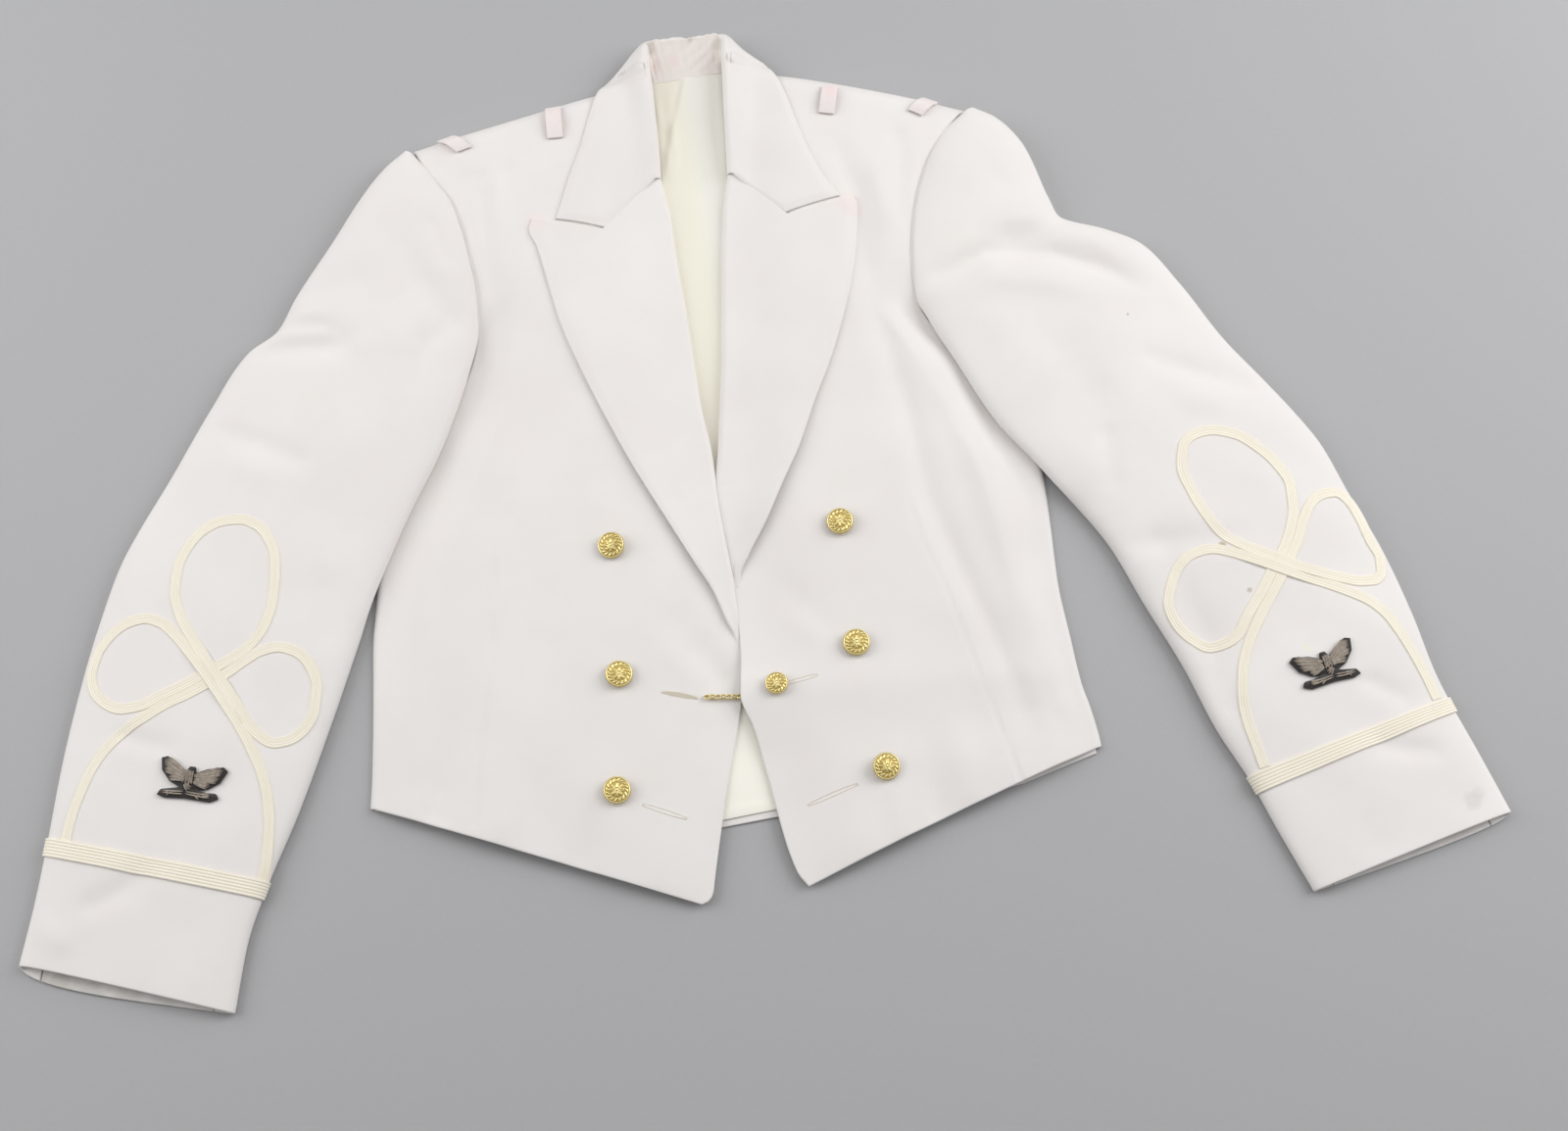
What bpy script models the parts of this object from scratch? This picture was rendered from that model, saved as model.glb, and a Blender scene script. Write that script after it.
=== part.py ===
"""An officer's white mess jacket, laid flat on its back with its sleeves spread.

Metres, +Z up. The table is z = 0, +Y runs from the hem to the collar, and the
origin is under the middle of the jacket. Right and left are the wearer's, so
the right sleeve lies towards -X. Plan tables and sizes below are in millimetres.
"""
import math

import bmesh
import bpy
import numpy as np
from mathutils import Matrix, Vector
from mathutils.bvhtree import BVHTree

MM = 0.001
TO_MIDDLE = (1.285, 3.885, 0.0)    # from the plan tables' origin to the jacket's middle

# Walls and gaps, in millimetres
FACE_WALL = 2.0        # face cloth with its canvas and its own lining
BACK_WALL = 1.5
LINING_WALL = 1.0
BRAID_WALL = 1.3
FELT_WALL = 1.6
GAP = 0.35             # between pieces that touch
LAID_GAP = 0.6         # between a laid-over panel and the one below

# Heights of the middle of each wall above the table
TABLE_Z = FACE_WALL / 2
LINING_Z = BACK_WALL + 0.4 + LINING_WALL / 2

# Fronts: how the panel swells from its edges
SIDE_CURL = 4.0        # radius of the turn down to the side seam
SHOULDER_CURL = 15.0   # radius of the turn over the shoulder
CHEST_RISE = 34.0      # distance over which a front swells from its side
EDGE_FALL = 55.0       # distance over which it thins to its front edge

# Lapels and collar
ROLL = 3.7             # radius of the roll, to the middle of its wall
ROLL_ANGLES = (-35, 0, 35, 70)
ROLL_SOFT = 14.0       # distance over which a lapel settles beyond its roll
ROLL_LIFT = 1.4        # how far it stands off there
COLLAR_MID = 0.52      # where the collar's middle points lie, from fold to edge
COLLAR_LIES = 0.36     # the share of its half length from which it lies on a front
STAND_FOOT = 5.0       # the stand's height at the neck seam, and its rise to the fold
STAND_RISE = 10.8
STAND_LEAN = 1.25
STAND_WALL = 1.6

# Sleeves: the flattened tube, half an ellipse of low power across its width
TUBE_ANGLES = (8, 22, 42, 66, 90, 114, 138, 158, 172)
TUBE_POWER = 0.4
TUCK = 14.0            # how far the top sleeve turns under at each fold
BAND_UP = 82.5         # cuff braid's middle above the cuff edge
BAND_WIDE = 12.7
BAND_SLACK = 0.25      # more than the gap, over the sleeve's curve
RIB_HIGH = 0.5
BRAID_WIDE = 6.4
KNOT_SLACK = 0.45
KNOT_CROWN = 0.25

# Buttons, 30 and 25 ligne, and the chain
BUTTON_R = 9.53
LINK_BUTTON_R = 7.9
BUTTON_RISE = 5.2
SHANK_R = 2.0
BUTTON_LIFT = 0.7      # above the cloth
CHAIN_LINKS = 9
LINK_LONG = 6.5
LINK_WIDE = 4.3
LINK_WIRE = 0.85

# Each front from the shoulder to the hem: the armhole and side seam, the true
# front edge, the swell of the chest, the height at each edge, the low shelf
# that the sleeve lies on, how far the side turns down to the table, and the
# upward bow of the hem.
FRONT_COLUMNS = ("side_x", "side_y", "edge_x", "edge_y", "crown", "side_z",
                 "edge_z", "shelf", "curl", "bow")
FRONT_RIGHT = (
    (-275, 269, -104, 327.5, 18, 14, 13, 2, 0.10, 0),
    (-261, 246, -101, 306, 19, 15, 13, 2, 0.08, 0),
    (-242.3, 221, -97, 282, 19, 15.5, 12, 2, 0.08, 0),
    (-228.2, 180, -91.5, 243, 17, 15, 9, 2, 0.08, 0),
    (-220.3, 141, -83, 205, 15, 11, 7, 2, 0.08, 0),
    (-219.5, 116, -79, 180, 14, 5, 7, 2, 0.0, 0),
    (-228.5, 75, -72.5, 145, 14, 3, 6.5, 9, 0.0, 0),
    (-241, 50, -62.5, 85, 13.5, 3, 6, 14, 0.0, 0),
    (-267, 23, -51, 27, 13, 3, 6, 27, 0.5, 0),
    (-277, -25, -41, -28, 12, 3, 6, 21, 1, 0),
    (-282, -70, -34.2, -77, 11, 3, 5.5, 9, 1, 0),
    (-282.7, -98, -30.2, -112, 10.5, 3.3, 5, 5, 1, 0),
    (-283, -113, -25, -127, 10, 3.4, 5, 4, 1, 0),
    (-281, -150, -24, -158, 9.5, 3.6, 4.6, 3, 1, 0),
    (-279, -190, -33.5, -226, 9, 3.6, 5, 3, 1, 0),
    (-278, -224, -41, -286, 8.6, 3.6, 5, 3, 1, 0),
    (-278, -231, -42, -296, 8.5, 3.6, 5, 3, 1, 0),
    (-278, -236, -49, -302, 8.4, 3.6, 5, 3, 1, 0),
)
FRONT_LEFT = (
    (144, 304, -32, 338, 18, 14, 13, 2, 0.10, 3),
    (125.8, 280, -32, 317, 19, 15, 13, 2, 0.08, 2.5),
    (111.7, 250, -32, 285, 19, 15.5, 12, 2, 0.08, 1),
    (103.2, 210, -32.5, 247, 17, 15, 9, 2, 0.08, 0),
    (101.2, 178, -35.3, 205, 15, 14, 7, 2, 0.08, 0),
    (103.2, 150, -36, 172, 14.5, 9, 7, 2, 0.05, 0),
    (115, 127, -36, 150, 14, 3.5, 6.5, 5, 0.0, 0),
    (141, 104, -36, 122, 14, 3, 6.5, 14, 0.0, 0),
    (164, 72, -36.5, 85, 13.5, 3, 6, 20, 0.0, 0),
    (183, 48, -37, 55, 13, 3, 6, 26, 0.5, 0),
    (192, 15, -37, 8, 12.5, 3, 6, 16, 1, 0),
    (197, -33, -29, -45, 11.5, 3, 6, 6, 1, 0),
    (198.6, -54, -26.2, -70, 11, 3.2, 6, 5, 1, 0),
    (200.5, -74, -27, -88, 10.5, 3.4, 6, 4, 1, 0),
    (208, -115, -22.6, -135, 10.5, 3.6, 9.5, 3, 1, 1),
    (212, -137, -21.5, -158, 11, 3.6, 12.4, 3, 1, 2),
    (215, -150, -15, -180, 10, 3.6, 9, 3, 1, 2.5),
    (219, -162, -6.5, -209, 9, 3.6, 5.5, 3, 1, 2),
    (225, -186, 15, -280, 8.5, 3.6, 5, 3, 1, 1.5),
    (226, -192, 23, -290, 8.4, 3.6, 5, 3, 1, 1.5),
)

# Each lapel from the gorge to its foot: the visible roll line, the outer edge,
# the dip of the gorge at the notch, and the roll's radius as a share of ROLL.
# The notch lies at a share of the lapel's width.
LAPEL_COLUMNS = ("roll_x", "roll_y", "outer_x", "outer_y", "dip", "roll")
LAPEL_RIGHT = (
    (-86.4, 242, -181, 205.5, 29.6, 1.0),
    (-83.6, 232, -183.6, 198, 24, 1.0),
    (-79, 213, -177, 183, 15, 1.0),
    (-74, 180, -168, 154, 7, 1.0),
    (-67.2, 141, -157, 120, 2, 1.0),
    (-60, 97, -142, 83, 0, 1.0),
    (-54, 60, -124, 48, 0, 1.0),
    (-46.4, 27, -103, 10, 0, 1.0),
    (-42.6, 2, -82, -19, 0, 1.0),
    (-37.6, -30, -64, -54, 0, 0.9),
    (-31.8, -66, -46, -83, 0, 0.8),
    (-28, -95, -37, -103, 0, 0.72),
    (-26, -110, -32.5, -113, 0, 0.68),
)
LAPEL_LEFT = (
    (-36.6, 245.4, 58, 224.8, 27, 1.0),
    (-38, 236, 60.6, 218, 22, 1.0),
    (-40, 213, 60, 196, 13, 1.0),
    (-40.6, 180, 57.5, 168, 5, 1.0),
    (-40.2, 141, 51, 134, 1, 1.0),
    (-40, 97, 41, 97, 0, 1.0),
    (-41, 60, 28.5, 62, 0, 1.0),
    (-42, 27, 17, 26, 0, 1.0),
    (-41.2, 2, 6, 0, 0, 0.95),
    (-36.4, -30, -7.5, -32, 0, 0.85),
    (-32, -56, -20, -56, 0, 0.72),
    (-30.4, -66, -24, -66, 0, 0.68),
)
NOTCH_RIGHT = 0.42
NOTCH_LEFT = 0.46

# The collar from the right gorge round the neck to the left one: the fold, a
# point half way to the free edge, the free edge, the dip of its end, and how
# far the fold turns down inside the neck.
COLLAR_COLUMNS = ("fold_x", "fold_y", "fold_z", "mid_x", "mid_y", "mid_z",
                  "edge_x", "edge_y", "edge_z", "dip", "drop")
COLLAR = (
    (-86.6, 245, 12, -126, 226.4, 11, -164, 206, 11, 26, 4),
    (-87.2, 254, 13, -124, 236, 14, -160.5, 218, 12, 17, 6),
    (-89, 275, 15, -122, 258, 17, -155, 240, 13, 4, 8),
    (-91.5, 297, 17, -119, 281, 19, -148, 262, 13, 0, 9),
    (-94, 318, 18, -117, 304, 20, -142, 288, 13, 0, 9),
    (-96.5, 337, 18.5, -117, 326.5, 18, -137.5, 309, 11, 0, 8),
    (-97.5, 349, 18, -114, 339.5, 11, -125, 326, 1.2, 0, 4),
    (-93, 355, 17.4, -103, 356, 9, -106, 336, 1.0, 0, 1.2),
    (-82, 355.5, 17.4, -84, 363, 8, -84, 341, 1.0, 0, 1.2),
    (-70, 356, 17.4, -70, 364.5, 8, -69, 343, 1.0, 0, 1.2),
    (-58, 358, 17.4, -54, 366, 8, -54, 346, 1.0, 0, 1.2),
    (-48, 360, 17.4, -38, 365, 9, -33, 348, 1.0, 0, 1.2),
    (-43.5, 354, 18, -29, 352, 11, -16, 342.5, 1.2, 0, 4),
    (-42, 342, 18.5, -23.5, 339, 18, -2, 328.5, 10, 0, 8),
    (-41, 324, 18, -17, 319, 20, 7, 311, 13, 0, 9),
    (-40, 302, 17, -13, 296, 19, 15, 288, 13, 0, 9),
    (-38.6, 280, 15, -6, 272, 17, 24.5, 263, 13, 5, 8),
    (-37.4, 258, 13, 0, 248, 14, 38, 238.5, 12, 18, 6),
    (-37, 249.4, 12, 6, 237.6, 11, 48, 225.4, 11, 24.6, 4),
)

# Each sleeve from the shoulder to the cuff: both folds, the crown, the height
# of the inner fold's foot, how far it lies over the body, and the inset and
# height of the under sleeve's inner edge.
SLEEVE_COLUMNS = ("outer_x", "outer_y", "inner_x", "inner_y", "crown", "foot",
                  "over", "under_in", "under_z", "bow")
SLEEVE_RIGHT = (
    (-279.5, 265, -275.5, 261, 16, 12.5, 0, 2.5, 1.0, 0),
    (-294, 251.5, -262.6, 244, 20, 15, 0, 2.5, 1.0, 0),
    (-309.5, 228.5, -244, 218, 22, 15.5, 0, 2.5, 1.0, 0),
    (-330.5, 189, -230, 176, 21, 15, 0, 2.5, 1.0, 0),
    (-354, 146, -222.6, 141, 20, 12, 0, 4, 1.0, 0),
    (-366.5, 118, -222.4, 116, 19, 8.6, 0, 15.5, 3.4, 0),
    (-387, 101, -225.5, 84, 18, 6, 0, 15.4, 5.0, 0),
    (-411.5, 55, -242, 27, 17, 6, 22, 14.4, 5.8, 0),
    (-435, 3.5, -263.5, -25, 16.5, 6, 13, 14.4, 5.8, 0),
    (-456, -40, -279, -68, 16, 5.8, 3, 14.4, 5.0, 0),
    (-465, -62, -287, -92, 15.5, 4.4, -3, 14.4, 3.0, 0),
    (-472, -88, -294, -118, 15, 1.4, -10, 14.4, 1.0, 0),
    (-482, -136, -310, -177, 14, 1.0, -20, 14.4, 1.0, 0),
    (-492, -205, -328.5, -240, 12.5, 1.0, -20, 14.4, 1.0, 0),
    (-497, -262, -346.5, -291.5, 11.5, 1.0, -20, 14.4, 1.0, 0),
    (-501, -300, -356.5, -329, 10.5, 1.0, -20, 14.4, 1.0, 3.5),
    (-507.5, -344, -361.5, -375, 9.5, 1.0, -20, 14.4, 1.0, 6.5),
)
SLEEVE_LEFT = (
    (150, 302, 144.4, 297, 16, 12.5, 0, 2.5, 1.0, 0),
    (166, 295, 128, 278, 20, 15, 0, 2.5, 1.0, 0),
    (187, 271, 114, 247, 22, 15.5, 0, 2.5, 1.0, 0),
    (204, 228, 105.4, 208, 21, 15, 0, 2.5, 1.0, 0),
    (212.5, 211.5, 103.4, 180, 20, 14, 0, 2.5, 1.0, 0),
    (246, 201.5, 105.6, 150, 19.5, 10.6, 0, 4, 1.0, 0),
    (271, 191, 113, 129, 19, 7.4, 2, 15.5, 3.4, 0),
    (299, 158, 132, 97, 18, 6, 9, 15.4, 5.0, 0),
    (328.5, 114, 161, 48.5, 17, 6, 20, 14.4, 5.8, 0),
    (359, 77.5, 188, 17, 16.5, 6, 6, 14.4, 5.8, 0),
    (378, 54, 203, -1, 16, 5.6, -6, 14.4, 4.6, 0),
    (394, 31, 219.5, -19, 15.5, 1.6, -16, 14.4, 1.0, 0),
    (411, -6, 239, -45, 15, 1.0, -20, 14.4, 1.0, 0),
    (432, -50, 261.5, -88, 14.5, 1.0, -20, 14.4, 1.0, 0),
    (449, -97, 287.5, -136, 14, 1.0, -20, 14.4, 1.0, 0),
    (461, -138, 307, -179, 12.5, 1.0, -20, 14.4, 1.0, 0),
    (470, -161, 329, -217, 11.5, 1.0, -20, 14.4, 1.0, 0),
    (486, -196, 346, -252, 10.5, 1.0, -20, 14.4, 1.0, 1.5),
    (505, -239, 367, -293, 9.5, 1.0, -20, 14.4, 1.0, 3.5),
)

# The largest folds: a trough across the top sleeve, how far down the sleeve it
# lies, its depth and width, and the shares of the width where it starts and ends.
FOLD_COLUMNS = ("down", "depth", "wide", "start", "end", "slant")
FOLDS_RIGHT = ((166, 5.0, 15, -0.1, 0.55, -22), (290, 1.6, 26, 0.5, 1.1, 20), (505, 1.2, 24, 0.4, 1.1, -12))
FOLDS_LEFT = ((118, 5.5, 14, -0.1, 0.62, 18), (255, 1.8, 26, 0.45, 1.1, 24), (470, 1.4, 24, 0.35, 1.1, 14))

# The back's outline: neck and shoulders, hem, and the lining's two sides
BACK_TOP = ((-273, 266.5), (-190, 295.2), (-104.6, 324.5), (-95, 330.5), (-70, 335),
            (-44, 339), (-33, 334.8), (55, 318), (142.6, 300.8))
BACK_HEM = ((-275.5, -237), (-244, -240.5), (-155, -250), (-38, -249), (3, -241),
            (107, -236.5), (141, -227), (172, -217.5), (223, -196.5))
LINING_COLUMNS = ("left_x", "right_x", "y")
LINING = (
    (-98, -36, 327),
    (-118, -14, 300),
    (-118, -10, 240),
    (-110, -10, 150),
    (-96, -10, 60),
    (-80, 6, -40),
    (-78, 40, -130),
    (-86, 60, -200),
    (-88, 66, -241),
)
NECK_SLANT = 0.17           # the neck seam's rise towards the left shoulder
NECK_DEEP = 50.0            # distance over which the slant fades below the seam
PLEAT_TOP = (-71, 323.5)    # the pleat in the middle of the lining
PLEAT_SLANT = 0.17
PLEAT_HIGH = 1.0
PLEAT_WIDE = 7.0
PLEAT_FOOT = 190.0
PLEAT_FADE = 60.0
STAND_COLUMNS = ("seam_x", "seam_y", "top_x", "top_y")
STAND = (
    (-96.4, 327.8, -95.4, 344),
    (-91, 329, -90, 352),
    (-82, 330.4, -82, 353.6),
    (-69, 332.8, -70, 354.1),
    (-57, 335.4, -58, 356.1),
    (-49, 337, -49.5, 357.4),
    (-42.8, 338.2, -45.2, 349),
)

# Shoulder straps, buttons and badges, and the knots of braid
LOOP_WALL = 1.4
LOOP_RISE = 1.2
LOOP_COLUMNS = ("name", "top_x", "top_y", "foot_x", "foot_y", "wide")
LOOPS = (
    ("loop_right_neck", -169, 299, -166, 272, 12.0),
    ("loop_right_arm", -249, 274, -233, 263, 13.5),
    ("loop_left_neck", 41, 316.5, 38, 293, 12.0),
    ("loop_left_arm", 118, 306.5, 105, 292.5, 12.5),
)
BUTTON_COLUMNS = ("name", "x", "y", "radius", "tilt_x", "tilt_y")
BUTTONS = (
    ("button_right_1", -116, -49, BUTTON_R, 10, -8),
    ("button_right_2", -109, -143, BUTTON_R, 0, 4),
    ("button_right_3", -108.5, -225, BUTTON_R, 3, 3),
    ("button_left_1", 46, -31, BUTTON_R, 2, -4),
    ("button_left_2", 56.5, -120, BUTTON_R, 3, 2),
    ("button_left_3", 76, -208, BUTTON_R, 8, 8),
    ("link_button", 1, -150, LINK_BUTTON_R, 2, -3),
)
BUTTONHOLE = (-55.0, -157.0)
CHAIN_END = (-17.0, -159.0)
CHAIN_LEAN = 45        # degrees that each link leans, one way and the other
CHAIN_STEP = 0.25      # the most that one link stands above the next
CHAIN_FLOOR = 3.4      # the lowest link's foot above the lining

# One length of braid: up one leg, round the side loop, the top loop and the
# other side loop, and down the other leg. A level of 1 passes over.
KNOT_COLUMNS = ("x", "y", "level")
KNOT_RIGHT = (
    (-482, -258, 0), (-481, -244, 0), (-476, -226, 0), (-469, -208, 0), (-459, -193, 0),
    (-447, -181, 0), (-435, -173, 0), (-423, -165, 0), (-409, -158, 0), (-395, -150, 0),
    (-382, -143, 0), (-370, -134, 0), (-359, -127, 0), (-347, -124, 0), (-335, -127, 0),
    (-325, -136, 0), (-319, -152, 0), (-320, -169, 0), (-326, -182, 0), (-336, -190, 0),
    (-346, -192, 0), (-356, -187, 0), (-366, -176, 0), (-374, -164, 0.5), (-383, -151, 1),
    (-392, -140, 1), (-401, -127, 0.5), (-410, -114, 0), (-418, -100, 0), (-423, -82, 0),
    (-422, -66, 0), (-416, -50, 0), (-405, -37, 0), (-392, -31, 0), (-381, -30, 0),
    (-369, -34, 0), (-360, -43, 0), (-354, -58, 0), (-353, -73, 0), (-354, -87, 0),
    (-358, -102, 0), (-366, -117, 0), (-376, -128, 0), (-388, -137, 0), (-401, -145, 0),
    (-413, -152, 0), (-427, -159, 0), (-440, -166, 0), (-454, -168, 0), (-466, -163, 0),
    (-474, -154, 0), (-477, -142, 0), (-474, -128, 0), (-465, -114, 0), (-454, -106, 0),
    (-442, -103, 0), (-431, -106, 0), (-420, -115, 0), (-411, -128, 0.5), (-401, -141, 1),
    (-391, -155, 1), (-381, -169, 0.5), (-371, -183, 0), (-362, -197, 0), (-353, -215, 0),
    (-348, -234, 0), (-347, -254, 0), (-349, -270, 0), (-351, -281, 0),
)
KNOT_LEFT = (
    (336, -206, 0), (332, -192, 0), (327, -175, 0), (325, -158, 0), (326, -140, 0),
    (331, -123, 0), (339, -106, 0), (348, -90, 0), (357, -74, 0), (365, -58, 0),
    (371, -44, 0), (376, -29, 0), (382, -17, 0), (391, -10, 0), (401, -8, 0), (409, -13, 0),
    (417, -27, 0), (423, -44, 0), (429, -58, 0), (429, -67, 0), (423, -74, 0),
    (412, -75, 0), (401, -73, 0), (388, -70, 0.5), (374, -66, 1), (359, -60, 1),
    (344, -53, 0.5), (330, -47, 0), (318, -40, 0), (308, -28, 0), (298, -10, 0),
    (291, 11, 0), (293, 26, 0), (302, 35, 0), (315, 38, 0), (331, 35, 0), (347, 25, 0),
    (360, 12, 0), (368, -3, 0), (369, -20, 0), (366, -36, 0), (359, -53, 0), (350, -69, 0),
    (341, -85, 0), (331, -101, 0), (325, -113, 0), (316, -120, 0), (304, -123, 0),
    (292, -117, 0), (282, -106, 0), (277, -91, 0), (280, -76, 0), (287, -62, 0),
    (298, -54, 0), (310, -52, 0), (322, -55, 0), (333, -60, 0.5), (346, -65, 1),
    (361, -70, 1), (376, -74, 0.5), (390, -78, 0), (404, -83, 0), (417, -89, 0),
    (429, -99, 0), (438, -112, 0), (447, -128, 0), (454, -143, 0), (459, -156, 0),
)

# A badge is a bird with spread wings over a plain branch, as an outline about
# its own middle, to be turned and placed on the sleeve.
BADGE_OUTLINE = ((-29, 15), (-24, 17), (-12, 10), (-5, 6), (-3, 12), (2, 12.5), (4, 7),
                 (12, 12), (25, 18), (29, 15.5), (24, 5), (15, -2), (7, -5), (18, -7),
                 (26, -6), (28, -10), (22, -14), (0, -15), (-18, -18), (-24, -16.5),
                 (-22, -12), (-10, -8), (-6, -6), (-16, -1), (-25, 6))
BADGE_SCALE = 0.78
BADGE_GAP = 0.75
BADGES = (("badge_right", -401.3, -219.3, -12), ("badge_left", 384.5, -137.5, 22))

COLOURS = {
    "cloth": (0.82, 0.79, 0.77, 0.85, 0.0),
    "lining": (0.84, 0.82, 0.68, 0.35, 0.0),
    "braid": (0.84, 0.79, 0.62, 0.6, 0.0),
    "felt": (0.02, 0.016, 0.012, 0.9, 0.0),
    "gilt": (0.83, 0.6, 0.2, 0.25, 1.0),
}


def material(name):
    """A Principled material, made once for each finish."""
    found = bpy.data.materials.get(name)
    if found:
        return found
    red, green, blue, rough, metal = COLOURS[name]
    made = bpy.data.materials.new(name)
    made.use_nodes = True
    shader = made.node_tree.nodes["Principled BSDF"]
    shader.inputs["Base Color"].default_value = (red, green, blue, 1)
    shader.inputs["Roughness"].default_value = rough
    shader.inputs["Metallic"].default_value = metal
    return made


def smooth(x):
    """Rises from 0 to 1 with level ends as x goes from 0 to 1."""
    x = np.clip(x, 0, 1)
    return x * x * (3 - 2 * x)


def quarter(x):
    """A quarter circle: 0 at x = 0, upright there, and 1 from x = 1."""
    return np.sqrt(1 - (1 - np.clip(x, 0, 1)) ** 2)


def unit(vectors):
    length = np.linalg.norm(vectors, axis=-1, keepdims=True)
    return vectors / np.maximum(length, 1e-9)


def slopes(knots, values):
    """Slopes at a table's rows that keep a smooth curve from overshooting."""
    step = np.diff(knots)[:, None]
    rate = np.diff(values, axis=0) / step
    slope = np.zeros_like(values)
    same = rate[:-1] * rate[1:] > 0
    safe = np.where(same, rate[:-1] + rate[1:], 1)
    slope[1:-1] = np.where(same, 2 * rate[:-1] * rate[1:] / safe, 0)
    slope[0], slope[-1] = rate[0], rate[-1]
    return slope


def read(table, columns, at):
    """Every column of a table at the given distances along its rows' middles."""
    rows = np.array(table, float)
    middle = (rows[:, 0:2] + rows[:, 2:4]) / 2
    knots = np.concatenate([[0], np.cumsum(np.linalg.norm(np.diff(middle, axis=0), axis=1))])
    return dict(zip(columns, curve(knots, rows, np.asarray(at, float)).T))


def curve(knots, values, at):
    """Cubic pieces through the rows with the slopes above."""
    slope = slopes(knots, values)
    low = np.clip(np.searchsorted(knots, at, side="right") - 1, 0, len(knots) - 2)
    step = (knots[low + 1] - knots[low])[:, None]
    t = np.clip((at[:, None] - knots[low][:, None]) / step, 0, 1)
    return ((2 * t**3 - 3 * t**2 + 1) * values[low] + (t**3 - 2 * t**2 + t) * step * slope[low]
            + (3 * t**2 - 2 * t**3) * values[low + 1] + (t**3 - t**2) * step * slope[low + 1])


def length_of(table):
    rows = np.array(table, float)
    middle = (rows[:, 0:2] + rows[:, 2:4]) / 2
    return np.linalg.norm(np.diff(middle, axis=0), axis=1).sum()


def across(start, end, share, dip=None, notch=0.5):
    """Points at shares of the way from start to end, dipped to a corner at the notch."""
    points = start[:, None] * (1 - share[..., None]) + end[:, None] * share[..., None]
    if dip is not None:
        tent = np.minimum(share / notch, (1 - share) / (1 - notch))
        points[..., 1] -= dip[:, None] * tent
    return points


def normals(grid):
    """The upward unit normal at each point of a grid of points."""
    found = unit(np.cross(np.gradient(grid, axis=0), np.gradient(grid, axis=1)))
    if found[..., 2].mean() < 0:
        found = -found
    return found


def mesh_object(name, vertices, faces, finish, angle=40):
    """One closed solid with its faces pointing out, from millimetres."""
    mesh = bpy.data.meshes.new(name)
    mesh.from_pydata((np.asarray(vertices) * MM).tolist(), [], [list(map(int, f)) for f in faces])
    shape = bmesh.new()
    shape.from_mesh(mesh)
    bmesh.ops.recalc_face_normals(shape, faces=shape.faces)
    if shape.calc_volume(signed=True) < 0:
        bmesh.ops.reverse_faces(shape, faces=shape.faces)
    shape.to_mesh(mesh)
    shape.free()
    mesh.shade_smooth()
    mesh.set_sharp_from_angle(angle=math.radians(angle))
    made = bpy.data.objects.new(name, mesh)
    made.data.materials.append(material(finish))
    bpy.context.scene.collection.objects.link(made)
    return made


def strip_faces(rows, columns, closed_columns=False):
    """Quads between neighbouring points of a grid, row by row."""
    index = np.arange(rows * columns).reshape(rows, columns)
    if closed_columns:
        index = np.concatenate([index, index[:, :1]], axis=1)
    quads = np.stack([index[:-1, :-1], index[:-1, 1:], index[1:, 1:], index[1:, :-1]], axis=-1)
    return quads.reshape(-1, 4)


def wall(name, grid, thick, finish, ribs=0.0):
    """A panel's wall: its middle surface moved half the thickness each way.

    The rim joins both faces. Ribs raise the upper face alone.
    """
    rows, columns = grid.shape[:2]
    out = normals(grid)
    upper = grid + out * (thick / 2 + ribs)
    lower = grid - out * thick / 2
    for face in (upper, lower):
        face[..., 2] = np.maximum(face[..., 2], 0)
    count = rows * columns
    top = strip_faces(rows, columns)
    bottom = top[:, ::-1] + count
    index = np.arange(count).reshape(rows, columns)
    rim = np.concatenate([index[0, :], index[1:, -1], index[-1, -2::-1], index[-2:0:-1, 0]])
    following = np.roll(rim, -1)
    sides = np.stack([rim, rim + count, following + count, following], axis=-1)
    vertices = np.concatenate([upper.reshape(-1, 3), lower.reshape(-1, 3)])
    return mesh_object(name, vertices, np.concatenate([top, bottom, sides]), finish)


class Surface:
    """The upper side of panels already made, for what is laid on them."""

    def __init__(self, *objects):
        self.trees = []
        for each in objects:
            mesh = each.data
            mesh.calc_loop_triangles()
            points = [tuple(v.co / MM) for v in mesh.vertices]
            faces = [tuple(t.vertices) for t in mesh.loop_triangles]
            self.trees.append(BVHTree.FromPolygons(points, faces))

    def height(self, x, y, below=-1.0):
        """The highest point under (x, y), or below where there is nothing."""
        found = below
        for tree in self.trees:
            hit = tree.ray_cast(Vector((x, y, 100)), Vector((0, 0, -1)))[0]
            if hit is not None:
                found = max(found, hit.z)
        return found

    def heights(self, points, spread=0.0):
        """Heights at points, each the most within the spread."""
        flat = points.reshape(-1, points.shape[-1])
        around = [(0, 0)]
        if spread:
            around += [(spread * math.cos(a), spread * math.sin(a)) for a in np.arange(6) * math.pi / 3]
        found = [max(self.height(p[0] + dx, p[1] + dy) for dx, dy in around) for p in flat]
        return np.array(found).reshape(points.shape[:-1])

    def laid(self, points, out, spread=0.0, reach=2.5):
        """Points moved out from the surface below them, square to it."""
        east, north = np.array([reach, 0.0]), np.array([0.0, reach])
        here = self.heights(points, spread)
        slope_x = (self.heights(points + east) - self.heights(points - east)) / (2 * reach)
        slope_y = (self.heights(points + north) - self.heights(points - north)) / (2 * reach)
        steep = 2.0
        up = unit(np.stack([-np.clip(slope_x, -steep, steep), -np.clip(slope_y, -steep, steep),
                            np.ones_like(here)], axis=-1))
        base = np.concatenate([points, here[..., None]], axis=-1)
        return base + up * (out[..., None] if np.ndim(out) else out)


def stations(total, curl, count):
    """Distances along a panel, close together where it turns over at its top."""
    turn = curl * (1 - np.cos(np.radians((0, 20, 45, 70))))
    return np.concatenate([turn, np.linspace(curl, total, count)])


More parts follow.
